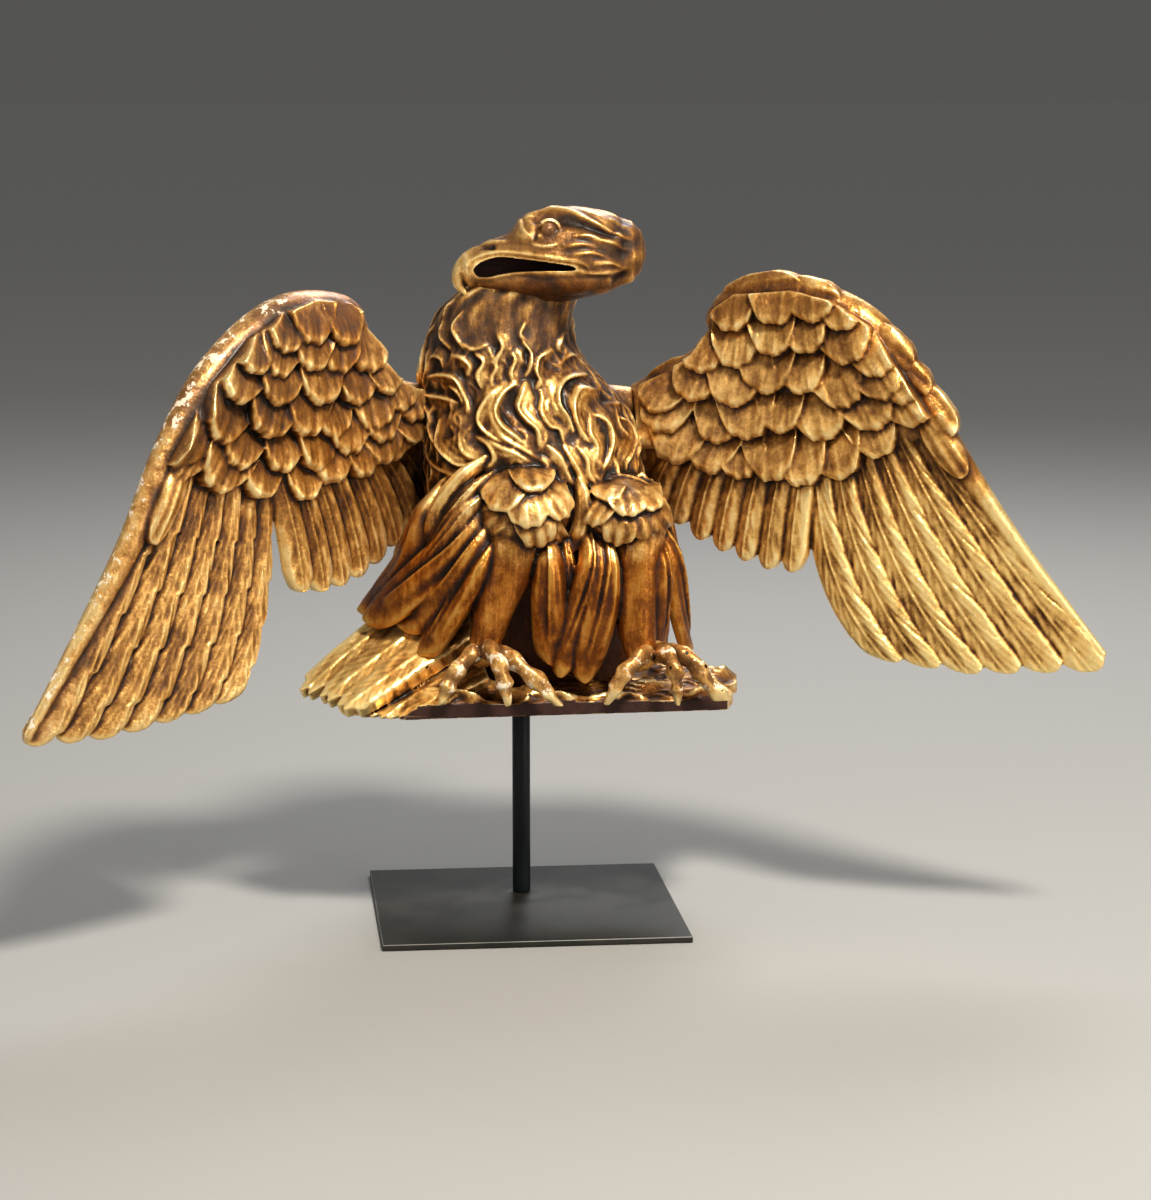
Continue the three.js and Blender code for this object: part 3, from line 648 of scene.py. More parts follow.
def step(tree, kind, feeds=(), **settings):
    """Adds a shader node with its settings and feeds"""
    made = tree.nodes.new("ShaderNode" + kind)
    for name, value in settings.items():
        setattr(made, name, value)
    feed(tree, made, dict(feeds))
    return made


def reckon(tree, operation, *values):
    return step(tree, "Math", dict(enumerate(values)), operation=operation).outputs[0]


def times(tree, value, share):
    return reckon(tree, "MULTIPLY", value, share)


def plus_share(tree, value, other, share):
    """A value plus a share of another"""
    return reckon(tree, "MULTIPLY_ADD", other, share, value)


def centred(tree, value):
    return reckon(tree, "SUBTRACT", value, 0.5)


def between(tree, value, low, high, start=0.0, end=1.0):
    """Eases from start to end while the value runs from low to high"""
    feeds = {"Value": value, "From Min": low, "From Max": high, "To Min": start, "To Max": end}
    return step(tree, "MapRange", feeds, interpolation_type="SMOOTHSTEP").outputs["Result"]


def mix(tree, share, under, over, kind="MIX"):
    feeds = {0: share, 6: under, 7: over}
    return step(tree, "Mix", feeds, data_type="RGBA", blend_type=kind).outputs[2]


def noise(tree, place, scale, detail, rough=0.5):
    feeds = {"Vector": place, "Scale": scale, "Detail": detail, "Roughness": rough}
    return step(tree, "TexNoise", feeds).outputs["Fac"]


def ramp(tree, value, stops):
    made = step(tree, "ValToRGB", {"Fac": value})
    band = made.color_ramp
    band.elements[0].position, band.elements[0].color = stops[0][0], (*stops[0][1], 1)
    band.elements[1].position, band.elements[1].color = stops[-1][0], (*stops[-1][1], 1)
    for position, colour in stops[1:-1]:
        band.elements.new(position).color = (*colour, 1)
    return made.outputs["Color"]


# From hollow to ridge: dirt and painted shade at the low end, rubbed gold at the top
GOLD_AND_SHADE_STOPS = [
    (0.10, (0.004, 0.0015, 0.0005)), (0.30, (0.042, 0.013, 0.0015)), (0.44, (0.16, 0.060, 0.009)),
    (0.58, (0.38, 0.175, 0.038)), (0.72, (0.76, 0.43, 0.13)), (0.88, (0.98, 0.76, 0.38)),
]
PATINA_AND_SHADE_STOPS = [
    (0.15, (0.020, 0.012, 0.007)), (0.42, (0.080, 0.050, 0.032)), (0.62, (0.18, 0.12, 0.08)),
    (0.88, (0.55, 0.41, 0.27)),
]
GESSO = (0.74, 0.63, 0.48, 1)
# Sawn wood, whose dark is also painted as shade into the open mouth and the gap behind the legs
SAWN_AND_SHADE = (0.022, 0.008, 0.007, 1)
SAWN_AND_SHADE_PALE = (0.10, 0.045, 0.03, 1)
WORM_HOLE = (0.012, 0.006, 0.004, 1)
AMBER = (0.62, 0.43, 0.20, 1)
RUBBED = (1.0, 0.72, 0.28, 1)


def finish_group(name, colours, values, results):
    """A new finish that takes colours and values, and gives a colour and other results"""
    tree = bpy.data.node_groups.new(name, "ShaderNodeTree")
    for way, kind, sockets in (
        ("INPUT", "Color", colours), ("INPUT", "Float", values),
        ("OUTPUT", "Color", ["Color"]), ("OUTPUT", "Float", results),
    ):
        for socket in sockets:
            tree.interface.new_socket(socket, in_out=way, socket_type="NodeSocket" + kind)
    return tree, tree.nodes.new("NodeGroupInput"), tree.nodes.new("NodeGroupOutput")


def flaked(tree, chipped, fine, mottle, speck):
    """Sharp-edged places where the gold has flaked off and bares the gesso"""
    flaking = plus_share(tree, times(tree, mottle, 0.75), speck, 0.25)
    flaking = plus_share(tree, plus_share(tree, flaking, chipped, 0.17), fine, 0.10)
    return times(tree, between(tree, flaking, 0.655, 0.672), between(tree, chipped, 0.05, 0.25))


def worm_holes(tree, place, wormy):
    """Small round holes, in a few of the cells of a pattern"""
    cells = step(tree, "TexVoronoi", {"Vector": place, "Scale": 105.0})
    hole = between(tree, cells.outputs["Distance"], 0.10, 0.14, 1.0, 0.0)
    chosen = step(tree, "SeparateColor", {0: cells.outputs["Color"]}).outputs[0]
    return times(tree, times(tree, hole, between(tree, chosen, 0.70, 0.72)), wormy)


def worn_gilding_and_shade():
    """The one finish of the carving: water gilding over gesso and wood, rubbed, dirty and chipped, with
    painted shade in hollows and gaps
    """
    tree, given, result = finish_group(
        "worn_gilding_and_shade", ("Relief", "Tone", "Finish"), ("Wear_and_shade", "Streaks"),
        ("Metallic", "Roughness", "Height"),
    )
    (fine, middling, broad), (patina, bright, chipped), (amber, sawn_and_shade, wormy) = (
        step(tree, "SeparateColor", {0: given.outputs[layer]}).outputs
        for layer in ("Relief", "Tone", "Finish")
    )
    place = step(tree, "TexCoord").outputs["Object"]
    blotch = noise(tree, place, 36, 3, 0.6)
    mottle = noise(tree, place, 170, 4, 0.65)
    speck = noise(tree, place, 800, 3, 0.7)
    drawn = step(tree, "Mapping", {"Vector": place, "Scale": (1.0, 1.0, 0.16)})
    streak = times(tree, centred(tree, noise(tree, drawn.outputs[0], 420, 3)), given.outputs["Streaks"])
    wear_and_shade = reckon(tree, "ADD", given.outputs["Wear_and_shade"], times(tree, bright, 0.14))
    # Where the relief lies low the value falls, which paints shade into the hollows as well as dirt
    for source, weight in (
        (fine, 0.26), (middling, 0.62), (broad, 0.46), (blotch, 0.75), (mottle, 0.40), (speck, 0.24),
    ):
        wear_and_shade = plus_share(tree, wear_and_shade, centred(tree, source), weight)
    wear_and_shade = reckon(tree, "ADD", wear_and_shade, streak)

    # Leaf and bole first, darkened in hollows as dirt and painted shade, then varnish, dirt, chips, sawn wood
    # that also stands for painted shade, and worm holes over them
    rubbed = times(tree, bright, between(tree, wear_and_shade, 0.35, 0.8, 0.0, 0.55))
    cloudy = between(tree, reckon(tree, "ADD", blotch, mottle), 0.8, 1.1, 1.0, 0.55)
    dull = times(tree, times(tree, patina, between(tree, middling, 0.46, 0.72, 1.0, 0.1)), cloudy)
    chip = flaked(tree, chipped, fine, mottle, speck)
    hole = worm_holes(tree, place, wormy)
    colour = mix(tree, rubbed, ramp(tree, wear_and_shade, GOLD_AND_SHADE_STOPS), RUBBED)
    colour = mix(tree, amber, colour, mix(tree, 1.0, colour, AMBER, "MULTIPLY"))
    colour = mix(tree, dull, colour, ramp(tree, wear_and_shade, PATINA_AND_SHADE_STOPS))
    colour = mix(tree, chip, colour, GESSO)
    # The sawn mask paints sawn wood, and also painted shade in the mouth and behind the legs
    colour = mix(tree, sawn_and_shade, colour, mix(tree, times(tree, mottle, 0.6), SAWN_AND_SHADE, SAWN_AND_SHADE_PALE))
    colour = mix(tree, hole, colour, WORM_HOLE)

    leaf = between(tree, wear_and_shade, 0.30, 0.62, 0.0, 0.72)
    for cover, share in ((dull, 0.7), (chip, 1.0), (sawn_and_shade, 1.0), (hole, 1.0)):
        leaf = times(tree, leaf, plus_share(tree, 1.0, cover, -share))
    rough = between(tree, wear_and_shade, 0.2, 0.9, 0.50, 0.32)
    rough = plus_share(tree, rough, centred(tree, mottle), 0.3)
    rough = plus_share(tree, rough, reckon(tree, "MAXIMUM", chip, sawn_and_shade), 0.25)
    height = mottle
    for dent, depth in ((streak, 1.2), (speck, 0.15), (hole, -2.0), (chip, -0.35)):
        height = plus_share(tree, height, dent, depth)
    feed(tree, result, {"Color": colour, "Metallic": leaf, "Roughness": rough, "Height": height})
    return tree


WORN_GILDING_AND_SHADE = worn_gilding_and_shade()


def dressed(name, group, values, layers, looks, bump, depth):
    """A material with a finish, the finish's values, the masks that it reads and other looks"""
    made = bpy.data.materials.new(name)
    made.use_nodes = True
    tree = made.node_tree
    shader = tree.nodes["Principled BSDF"]
    finish = step(tree, "Group", values, node_tree=group)
    for layer in layers:
        socket = finish.inputs[layer.capitalize()]
        mask = step(tree, "Attribute", attribute_name=layer)
        tree.links.new(mask.outputs["Color" if socket.type == "RGBA" else "Fac"], socket)
    for place, socket in (("Base Color", "Color"), ("Metallic", "Metallic"), ("Roughness", "Roughness")):
        if socket in finish.outputs:
            tree.links.new(finish.outputs[socket], shader.inputs[place])
    feed(tree, shader, looks)
    dents = step(tree, "Bump", {"Height": finish.outputs["Height"], "Strength": bump, "Distance": depth})
    tree.links.new(dents.outputs["Normal"], shader.inputs["Normal"])
    return made


def gilded(name, wear_and_shade, streaks, bump):
    values = {"Wear_and_shade": wear_and_shade, "Streaks": streaks}
    varnish = {"Specular IOR Level": 0.28, "Coat Weight": 0.12, "Coat Roughness": 0.2}
    return dressed(name, WORN_GILDING_AND_SHADE, values, ("relief", "tone", "finish"), varnish, bump, 0.9 * MM)


def finished(piece, node, material):
    """Lightens a piece, and gives it its gilding and its place in the frame"""
    lighten(piece)
    piece.data.materials.append(material)
    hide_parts(node)
    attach(piece, "root")


WING_GILDING = gilded("gilding_of_wings", 0.53, 0.22, 0.8)
WING_VOXEL = 0.62
for name, wing, node in (
    ("carved_wing_left", LEFT_WING, "wing_left"), ("carved_wing_right", RIGHT_WING, "wing_right"),
):
    piece = carve_wing(name, wing, WING_VOXEL)
    place, _ = mask_relief(piece)
    height = place[:, 2]
    s = along_wing(wing, place[:, 0])
    below = wing_top(wing, s) - height
    low_down = smooth(232, 185, height)
    outer = smooth(60, 130, s)
    amber = 0.2 * (1 - low_down)
    if wing["side"] > 0:
        patina = 0.25 * smooth(110, 20, s) + 0.15 * (1 - low_down)
        bright = low_down * (0.45 + 0.55 * outer) + 0.45 * (1 - low_down) * smooth(4, 20, below)
        chips = 0.06 * smooth(12, 4, below)
        calmed = 0.45
    else:
        band = smooth(34, 16, below)
        top = smooth(24, 14, below) * smooth(118, 92, s) * smooth(40, 60, s)
        patina = 0.4 * smooth(100, 10, s) + 0.25 * smooth(235, 270, height)
        patina = patina + (0.28 + 0.4 * band) * outer + 0.4 * top
        bright = 0.35 * low_down * (1 - band) * outer + 0.1 * low_down
        chips = 0.36 * smooth(9, 3, below) * smooth(80, 110, s)
        amber = amber + 0.85 * top + 0.4 * low_down * outer
        calmed = 0.2
    calm(piece, calmed * (1 - low_down))
    paint(piece, "tone", patina, bright, chips)
    paint(piece, "finish", amber, 0.0, 0.0)
    finished(piece, node, WING_GILDING)


# The body is one piece of gilded wood with the head, legs, tail and base. Flame-like locks cover its
# breast and neck: curved rims, steep on one side and hollowed on the other. The thighs and knees carry
# scales and long smooth feathers that hang like a skirt.
TRUNK_LOW, TRUNK_HIGH = 112, 314
# The trunk's oval sections: height, x and y of the middle, half width, half depth
TRUNK = [
    [112, 14, 24, 42, 26], [150, 11, 22, 46, 30], [178, 8, 17, 50, 36], [204, 7, 11, 53, 41],
    [228, 5, 12, 53, 42], [246, 2, 14, 51, 40], [260, -2, 15, 46, 36], [272, -8, 15, 41, 32],
    [284, -10, 13, 36, 29], [298, -8, 9, 34, 24], [307, -4, 4.5, 32, 19.5], [315, 2, -2, 27, 13],
    [324, 14, -2, 20, 12],
]
TRUNK_ROWS = through(TRUNK, 240)
ROUND = 46  # a mean radius, which turns an angle round the trunk into a length


def on_trunk(a, z, lift=0.0):
    """The point a mm round the trunk from the front, towards the right, at height z"""
    x, y, wide, deep = (np.interp(z, TRUNK_ROWS[:, 0], TRUNK_ROWS[:, k]) for k in range(1, 5))
    angle = a / ROUND
    normal = as_points(np.sin(angle) / wide, -np.cos(angle) / deep, 0)
    place = as_points(x + wide * np.sin(angle), y - deep * np.cos(angle), z)
    return place + unit(normal) * np.asarray(lift)[..., None]


def trunk_turn(x, z):
    """How far round the trunk points of its front lie, from their x"""
    middle, wide = (np.interp(z, TRUNK_ROWS[:, 0], TRUNK_ROWS[:, k]) for k in (1, 3))
    return ROUND * np.arcsin(np.clip((x - middle) / wide, -0.98, 0.98))


RIM = 1.15  # half the width of a rim's sharp edge


def carve_rims(across, up, strokes, rim=RIM):
    """Height of curved rims at points of a flat chart. A stroke is (points, reach, lift): it is
    steep on one side and fades over its reach on the other, to the left of its run if above 0"""
    height = np.zeros(across.shape)
    for points, reach, lift in strokes:
        line = through(points, 24)
        wide = abs(reach) + 2
        near = (
            (across > line[:, 0].min() - wide) & (across < line[:, 0].max() + wide)
            & (up > line[:, 1].min() - wide) & (up < line[:, 1].max() + wide)
        )
        if not near.any():
            continue
        at = np.stack([across[near], up[near]], -1)[:, None]
        start, run = line[:-1][None], np.diff(line, axis=0)[None]
        along = np.clip(((at - start) * run).sum(-1) / (run**2).sum(-1), 0, 1)
        offset = at - start - along[..., None] * run
        gap = np.linalg.norm(offset, axis=-1)
        pick = gap.argmin(1)
        rows = np.arange(len(pick))
        t = (pick + along[rows, pick]) / (len(line) - 1)
        side = run[0, pick, 0] * offset[rows, pick, 1] - run[0, pick, 1] * offset[rows, pick, 0]
        gap = gap[rows, pick]
        body = np.clip(np.sin(np.pi * (0.08 + 0.87 * t)), 0, 1) ** 0.7
        edge = np.exp(-((gap / (rim * (0.5 + 0.5 * body))) ** 2))
        fade = np.clip(1 - gap / (abs(reach) * body), 0, 1) ** 1.1
        groove = 0.10 * np.cos(2 * np.pi * gap / 3.1) * fade
        value = np.where(side * reach > 0, 0.22 * edge + 0.78 * fade + groove, edge)
        height[near] = np.maximum(height[near], lift * body * value)
    return height


# The locks that show in front: x and z of points from root to tip, reach, lift
FRONT_LOCKS = [
    ([(-54, 267), (-42, 270), (-34, 269), (-30, 261), (-28, 253)], -10, 3.8),
    ([(-46, 272), (-45, 278), (-41, 278), (-40, 274)], 5, 2.7),
    ([(-52, 266), (-47, 260), (-40, 259), (-33, 257)], -8, 3.3),
    ([(-38, 266), (-33, 262), (-31, 256)], 5, 3.0),
    ([(-42, 248), (-42, 237), (-37, 230), (-31, 227), (-21, 230)], 15, 4.6),
    ([(-46, 243), (-47, 233), (-43, 225), (-33, 221)], 8, 3.3),
    ([(-33, 242), (-32, 235), (-27, 231), (-19, 232)], 8, 3.3),
    ([(-25, 241), (-20, 238), (-17, 232), (-19, 226)], 5, 2.7),
    ([(-6, 267), (-12, 262), (-15, 255), (-13, 248), (-6, 242), (-1, 237)], -11, 4.9),
    ([(-9, 266), (-17, 263), (-22, 256), (-24, 249), (-20, 243), (-11, 238)], 10, 3.8),
    ([(-1, 267), (-3, 262), (-5, 256), (-1, 250), (4, 245), (5, 238)], 12, 4.6),
    ([(6, 265), (7, 260), (6, 254), (10, 247), (15, 245), (17, 239)], 8, 3.6),
    ([(31, 269), (21, 269), (15, 264), (15, 257), (19, 251), (22, 244)], -11, 4.9),
    ([(35, 262), (26, 264), (22, 259), (22, 252), (25, 244), (30, 238)], 12, 4.6),
    ([(32, 268), (37, 264), (34, 261)], 4, 2.4),
    ([(12, 282), (6, 279), (4, 273), (6, 268), (4, 264)], 10, 3.8),
    ([(-8, 282), (-6, 278), (-8, 272), (-7, 268)], 8, 3.0),
    ([(33, 251), (38, 248), (41, 241), (40, 232), (37, 226)], 10, 3.6),
    ([(44, 249), (51, 245), (53, 236), (49, 227), (50, 220)], -15, 4.4),
    ([(31, 251), (30, 243), (33, 236), (32, 227)], 10, 3.3),
    ([(17, 237), (21, 230), (25, 222), (30, 216)], 10, 3.3),
    ([(24, 236), (28, 230), (29, 223), (35, 215)], 10, 3.3),
    ([(10, 237), (15, 232), (18, 225), (22, 218)], -8, 3.0),
    ([(-18, 249), (-13, 242), (-5, 237), (3, 232)], 8, 3.0),
    ([(-21, 241), (-14, 237), (-6, 234), (0, 230)], -8, 3.0),
    ([(-25, 281), (-21, 277), (-24, 270), (-22, 264)], 10, 3.6),
    ([(-19, 278), (-15, 275), (-17, 270), (-17, 264)], 8, 3.0),
    ([(-36, 280), (-31, 279), (-27, 275), (-29, 270)], -10, 3.3),
    ([(-59, 267), (-59, 260), (-55, 253), (-47, 251)], 10, 3.6),
    ([(-58, 245), (-52, 243), (-47, 247)], -5, 2.7),
    ([(43, 266), (47, 261), (45, 253)], 8, 2.7),
    ([(55, 243), (60, 238), (60, 230)], 8, 3.0),
    ([(57, 232), (54, 222), (57, 212)], 10, 3.0),
    ([(17, 275), (22, 279), (29, 277)], 5, 2.4),
    ([(-48, 228), (-47, 218), (-49, 206)], 10, 3.3),
    ([(-38, 222), (-44, 211), (-47, 198)], 10, 3.3),
    ([(-31, 286), (-26, 283), (-19, 285)], 5, 2.2),
    ([(-2, 287), (2, 281), (1, 274), (-1, 270)], 10, 3.3),
    ([(40, 255), (50, 254), (57, 248)], -8, 2.7),
    ([(-14, 290), (-12, 284), (-15, 278), (-13, 272)], 8, 2.7),
    ([(20, 290), (16, 284), (19, 279)], 8, 2.4),
    ([(12, 262), (9, 257), (11, 252)], 5, 2.7),
    ([(-40, 297), (-41, 289), (-37, 283)], 8, 2.4),
    ([(-31, 301), (-35, 294), (-33, 288), (-29, 282)], 8, 2.4),
    ([(-1, 295), (-3, 290), (1, 287)], 5, 1.9),
    ([(-34, 307), (-38, 302), (-40, 296)], 5, 2.2),
    ([(42, 232), (44, 224), (41, 217)], 8, 2.7),
    ([(6, 232), (9, 227), (8, 222)], 5, 2.4),
    ([(-30, 222), (-37, 216), (-42, 206)], -8, 2.7),
]


LOCK_ROWS = dict(count=9, top=304, apart=12, width=13)
FRONT_SPAN = 50  # how far the locks that show in front reach to each side
NECK_SPAN = 70


def all_round_locks():
    """Long curved locks in staggered rows that cover the sides and the back"""
    locks = []
    for row in range(LOCK_ROWS["count"]):
        z = LOCK_ROWS["top"] - LOCK_ROWS["apart"] * row
        around = int(round(2 * math.pi * ROUND / LOCK_ROWS["width"]))
        for k in range(around):
            seed = row * 31 + k
            a = (k + 0.5 * (row % 2) + 0.4 * wavering(seed)) * 2 * math.pi * ROUND / around - math.pi * ROUND
            if abs(a) < FRONT_SPAN or (abs(a) < NECK_SPAN and z > 280):
                continue
            way = 1 if wavering(seed + 0.2) > 0.5 else -1
            sway = way * (4 + 4 * wavering(seed + 0.4))
            long = 24 + 12 * wavering(seed + 0.6)
            points = [
                (a, z), (a + sway, z - 0.3 * long), (a - 0.3 * sway, z - 0.65 * long),
                (a + 0.6 * sway, z - long),
            ]
            locks.append((points, way * (8 + 3 * wavering(seed + 0.8)), 2.6 + 1.4 * wavering(seed + 0.5)))
    return locks


STROKES = [
    ([(trunk_turn(x, height), height) for x, height in points], reach, lift)
    for points, reach, lift in FRONT_LOCKS
]


CURL_ROWS = dict(count=10, top=284, apart=7.5, across=14, width=8.5)


def fine_curls():
    """Short shallow curls that fill the ground between the big locks in front"""
    curls = []
    for row in range(CURL_ROWS["count"]):
        z = CURL_ROWS["top"] - CURL_ROWS["apart"] * row
        for k in range(CURL_ROWS["across"]):
            seed = row * 17 + k * 3
            a = (k - 6.5 + 0.5 * (row % 2) + 0.6 * (wavering(seed) - 0.5)) * CURL_ROWS["width"]
            way = 1 if wavering(seed + 0.25) > 0.5 else -1
            sway = way * (2.5 + 3.5 * wavering(seed + 0.45))
            long = 9 + 8 * wavering(seed + 0.65)
            points = [(a, z), (a + sway, z - 0.4 * long), (a + 0.2 * sway, z - long)]
            curls.append((points, way * 4, 0.6 + 0.8 * wavering(seed + 0.85)))
    return curls


def trunk():
    z = np.linspace(TRUNK_LOW, TRUNK_HIGH, 320)[:, None]
    a = np.linspace(-np.pi, np.pi, 520, endpoint=False)[None] * ROUND
    across, up = np.broadcast_arrays(a, z)
    relief = carve_rims(across, up, all_round_locks() + STROKES)
    relief = relief + carve_rims(across, up, fine_curls(), 0.8) * smooth(1.8, 0.6, relief)
    rough = 0.7 * np.sin(across / 3.9 + 2 * np.sin(up / 9)) * np.sin(up / 6.3 + across / 11)
    rings = on_trunk(across, up, (relief + rough) * smooth(190, 206, up) - 1.0)
    return tube(rings, rings[0].mean(0), rings[-1].mean(0))


# Knees stand out like balls under the breast, each with its own overlapping scales, given as x and z
# of the tip, width and length, from the lowest layer to the highest
KNEES = [
    dict(
        place=(-2, -12, 207), size=(25, 35, 24),
        scales=[
            (15, 187, 13, 17), (-21, 189, 21, 20), (3, 192, 20, 17), (-30, 196, 16, 20), (-17, 208, 19, 19),
            (15, 204, 17, 19), (-2, 201, 22, 18), (2, 216, 22, 14),
        ],
        rim=[[-24, 214], [-19, 222], [-9, 229], [3, 230], [14, 226], [21, 218], [24, 207]],
    ),
    dict(
        place=(46, -9, 203), size=(23, 33, 19),
        scales=[
            (58, 193, 17, 16), (42, 192, 18, 16), (66, 196, 14, 16), (30, 200, 14, 17), (47, 204, 20, 15),
            (60, 206, 15, 14), (36, 210, 16, 12),
        ],
        rim=[[26, 210], [33, 217], [45, 221], [57, 218], [66, 210]],
    ),
]


def ball(place, size, rows=60, sides=90):
    up = np.linspace(-np.pi / 2, np.pi / 2, rows + 2)[1:-1, None]
    turn = np.linspace(0, 2 * np.pi, sides, endpoint=False)[None]
    place, size = np.array(place, float), np.array(size, float)
    rings = as_points(np.cos(up) * np.cos(turn), np.cos(up) * np.sin(turn), np.sin(up))
    return tube(place + size * rings, place - [0, 0, size[2]], place + [0, 0, size[2]])


def on_knee(knee, x, z, lift):
    """The point of a knee's front at x and z, and lift in front of it"""
    place, size = np.array(knee["place"], float), np.array(knee["size"], float)
    u, w = (x - place[0]) / size[0], (z - place[2]) / size[2]
    bulge = np.sqrt(np.maximum(1 - u**2 - w**2, 0.06))
    normal = unit(as_points(u / size[0], -bulge / size[1], w / size[2]))
    surface = as_points(x, place[1] - size[1] * bulge, z)
    return surface + normal * np.asarray(lift)[..., None]


def knee(form, seed):
    solids = [ball(form["place"], form["size"])]
    t, v = feather_grid(40, 41)
    for tip_x, tip_z, width, length in form["scales"]:
        seed += 1
        lean = 1.7 * (tip_x - form["place"][0])
        x, z = scale_outline(t, v, seed, width, length, (tip_x, tip_z), lean)
        height = blend(-1.2, 3.2, t) + 0.8 * shell_relief(t, v, seed, 0.75, 1.8) - 1.4 * v**8
        solids.append(shell(on_knee(form, x, z, height), on_knee(form, x, z, -4 + 0 * height)))
    arc = through(form["rim"], 60)
    lift = 1.0 * np.sin(np.linspace(0, np.pi, 60)) ** 0.4
    route = on_knee(form, arc[:, 0], arc[:, 1], 0.2 * lift)
    solids.append(limb(np.column_stack([route, lift, lift]), (0.1, -1, 0.1), 90, 24))
    return solids


# Smooth feathers that hang from the thighs: points from root to tip, half width, folds
HANGING = [
    ([[-21, -27, 234], [-34, -28, 222], [-45, -22, 206], [-51, -13, 186]], 4.5, 0.0),
    ([[-20, -31, 226], [-31, -31, 214], [-41, -25, 200], [-52, -14, 178]], 5, 1.0),
    ([[-22, -34, 217], [-32, -33, 206], [-41, -28, 193], [-58, -15, 170]], 5.5, 0.0),
    ([[-22, -34, 210], [-35, -31, 190], [-53, -20, 173], [-80, -4, 150]], 12, 2.0),
    ([[-21, -37, 203], [-32, -34, 184], [-44, -26, 168], [-63, -11, 147]], 11, 1.4),
    ([[-19, -38, 196], [-28, -36, 178], [-39, -31, 160], [-54, -23, 135]], 9, 1.0),
    ([[9, -34, 200], [9, -39, 180], [9, -38, 160], [11, -31, 130]], 9, 1.0),
    ([[18, -30, 200], [19, -33, 179], [21, -31, 160], [21, -27, 141]], 5, 0.0),
    ([[31, -33, 200], [29, -38, 178], [24, -36, 156], [14, -33, 124]], 7.5, 0.0),
    ([[38, -34, 200], [37, -39, 176], [34, -38, 153], [26, -33, 121]], 8.5, 1.0),
    ([[61, -28, 202], [66, -32, 178], [66, -28, 155], [65, -24, 135]], 8, 0.0),
    ([[64, -20, 206], [73, -16, 178], [78, -6, 152], [85, 8, 130]], 9, 1.0),
    ([[22, -28, 228], [26, -31, 214], [26, -31, 200], [21, -31, 186]], 4, 0.0),
    ([[62, -20, 222], [68, -14, 196], [76, -1, 166], [82, 10, 142]], 10, 1.0),
    ([[-40, -8, 224], [-52, -8, 200], [-62, 0, 176], [-82, 8, 152]], 11, 1.4),
    ([[60, 12, 210], [66, 24, 186], [72, 30, 156], [74, 34, 122]], 14, 1.6),
    ([[36, 34, 212], [40, 50, 184], [44, 56, 152], [46, 54, 118]], 16, 1.8),
    ([[4, 40, 214], [6, 56, 186], [8, 62, 152], [10, 58, 118]], 17, 1.8),
    ([[-28, 34, 212], [-34, 48, 184], [-36, 54, 150], [-30, 50, 118]], 16, 1.8),
    ([[-44, 12, 210], [-56, 24, 184], [-60, 32, 154], [-56, 34, 122]], 14, 1.6),
]
# The shins inside them, from knee to foot: x, y and z of the middle, half width, half depth
SHINS = [
    [[-6, -26, 206, 15, 14], [-7, -29, 194, 14.5, 13.5], [-11, -31, 178, 12.5, 12], [-17, -33, 161, 10, 10],
     [-24, -35, 137, 7, 7]],
    [[53, -24, 204, 13, 13], [54, -27, 190, 12.5, 12.5], [53, -29, 174, 11.5, 11.5], [52, -31, 155, 10.5, 10],
     [54, -34, 134, 7.5, 7.5]],
]


ROOT_WIDTH = 0.35
END_ROUND = 0.16


def ribbon(route, normal, half, thick, relief):
    """A feather along a route of points in space, with a normal at each"""
    t, v = feather_grid(len(route), 41)
    along = unit(np.gradient(route, axis=0))
    across = unit(np.cross(along, normal))
    up = unit(np.cross(across, along))
    shape = half * (ROOT_WIDTH + (1 - ROOT_WIDTH) * np.sin(np.pi / 2 * np.clip(t * 1.5, 0, 1)))
    end = np.clip((t - (1 - END_ROUND)) / END_ROUND, 0, 1)
    shape = shape * np.sqrt(1 - 0.96 * end**2)
    base = route[:, None] + across[:, None] * (shape * v)[..., None]
    front = base + up[:, None] * relief(t, v)[..., None]
    back = base - up[:, None] * (thick + 0 * t * v)[..., None]
    return shell(front, back)


def hanging_feather(points, half, folds, seed):
    route = through(points, 120)
    normal = unit(as_points(route[:, 0] - 10, route[:, 1] - 18, 6.0))
    sunk = 9 * np.clip(1 - np.linspace(0, 1, len(route)) / 0.3, 0, 1) ** 1.5
    route = route - normal * sunk[:, None]

    def relief(t, v):
        body = np.sin(np.pi * np.clip(t + 0.12, 0, 1)) ** 0.6
        fold = 1.2 * np.cos(2 * np.pi * (folds * v * 0.5 + 0.3 * wavering(seed) + 0.15 * t)) * min(folds, 1)
        bend = v - 0.3 + 0.6 * wavering(seed + 0.4) + 0.15 * np.sin(3 * t + seed)
        keel = 1.3 * np.exp(-((bend / 0.07) ** 2)) - 1.2 * np.exp(-(((bend - 0.2) / 0.09) ** 2))
        streak = 0.35 * np.cos(2 * np.pi * (2.2 * v + 0.7 * t + seed)) * np.sin(4 * t + seed)
        across = (2.2 + 0.1 * half) * (1 - np.abs(v) ** 2.6) + 0.9 * v * np.sign(wavering(seed + 0.2) - 0.5)
        return -2.0 * (1 - body) + across + (fold + keel + streak) * body - 1.2 * v**8

    return ribbon(route, normal, half, 4.5, relief)


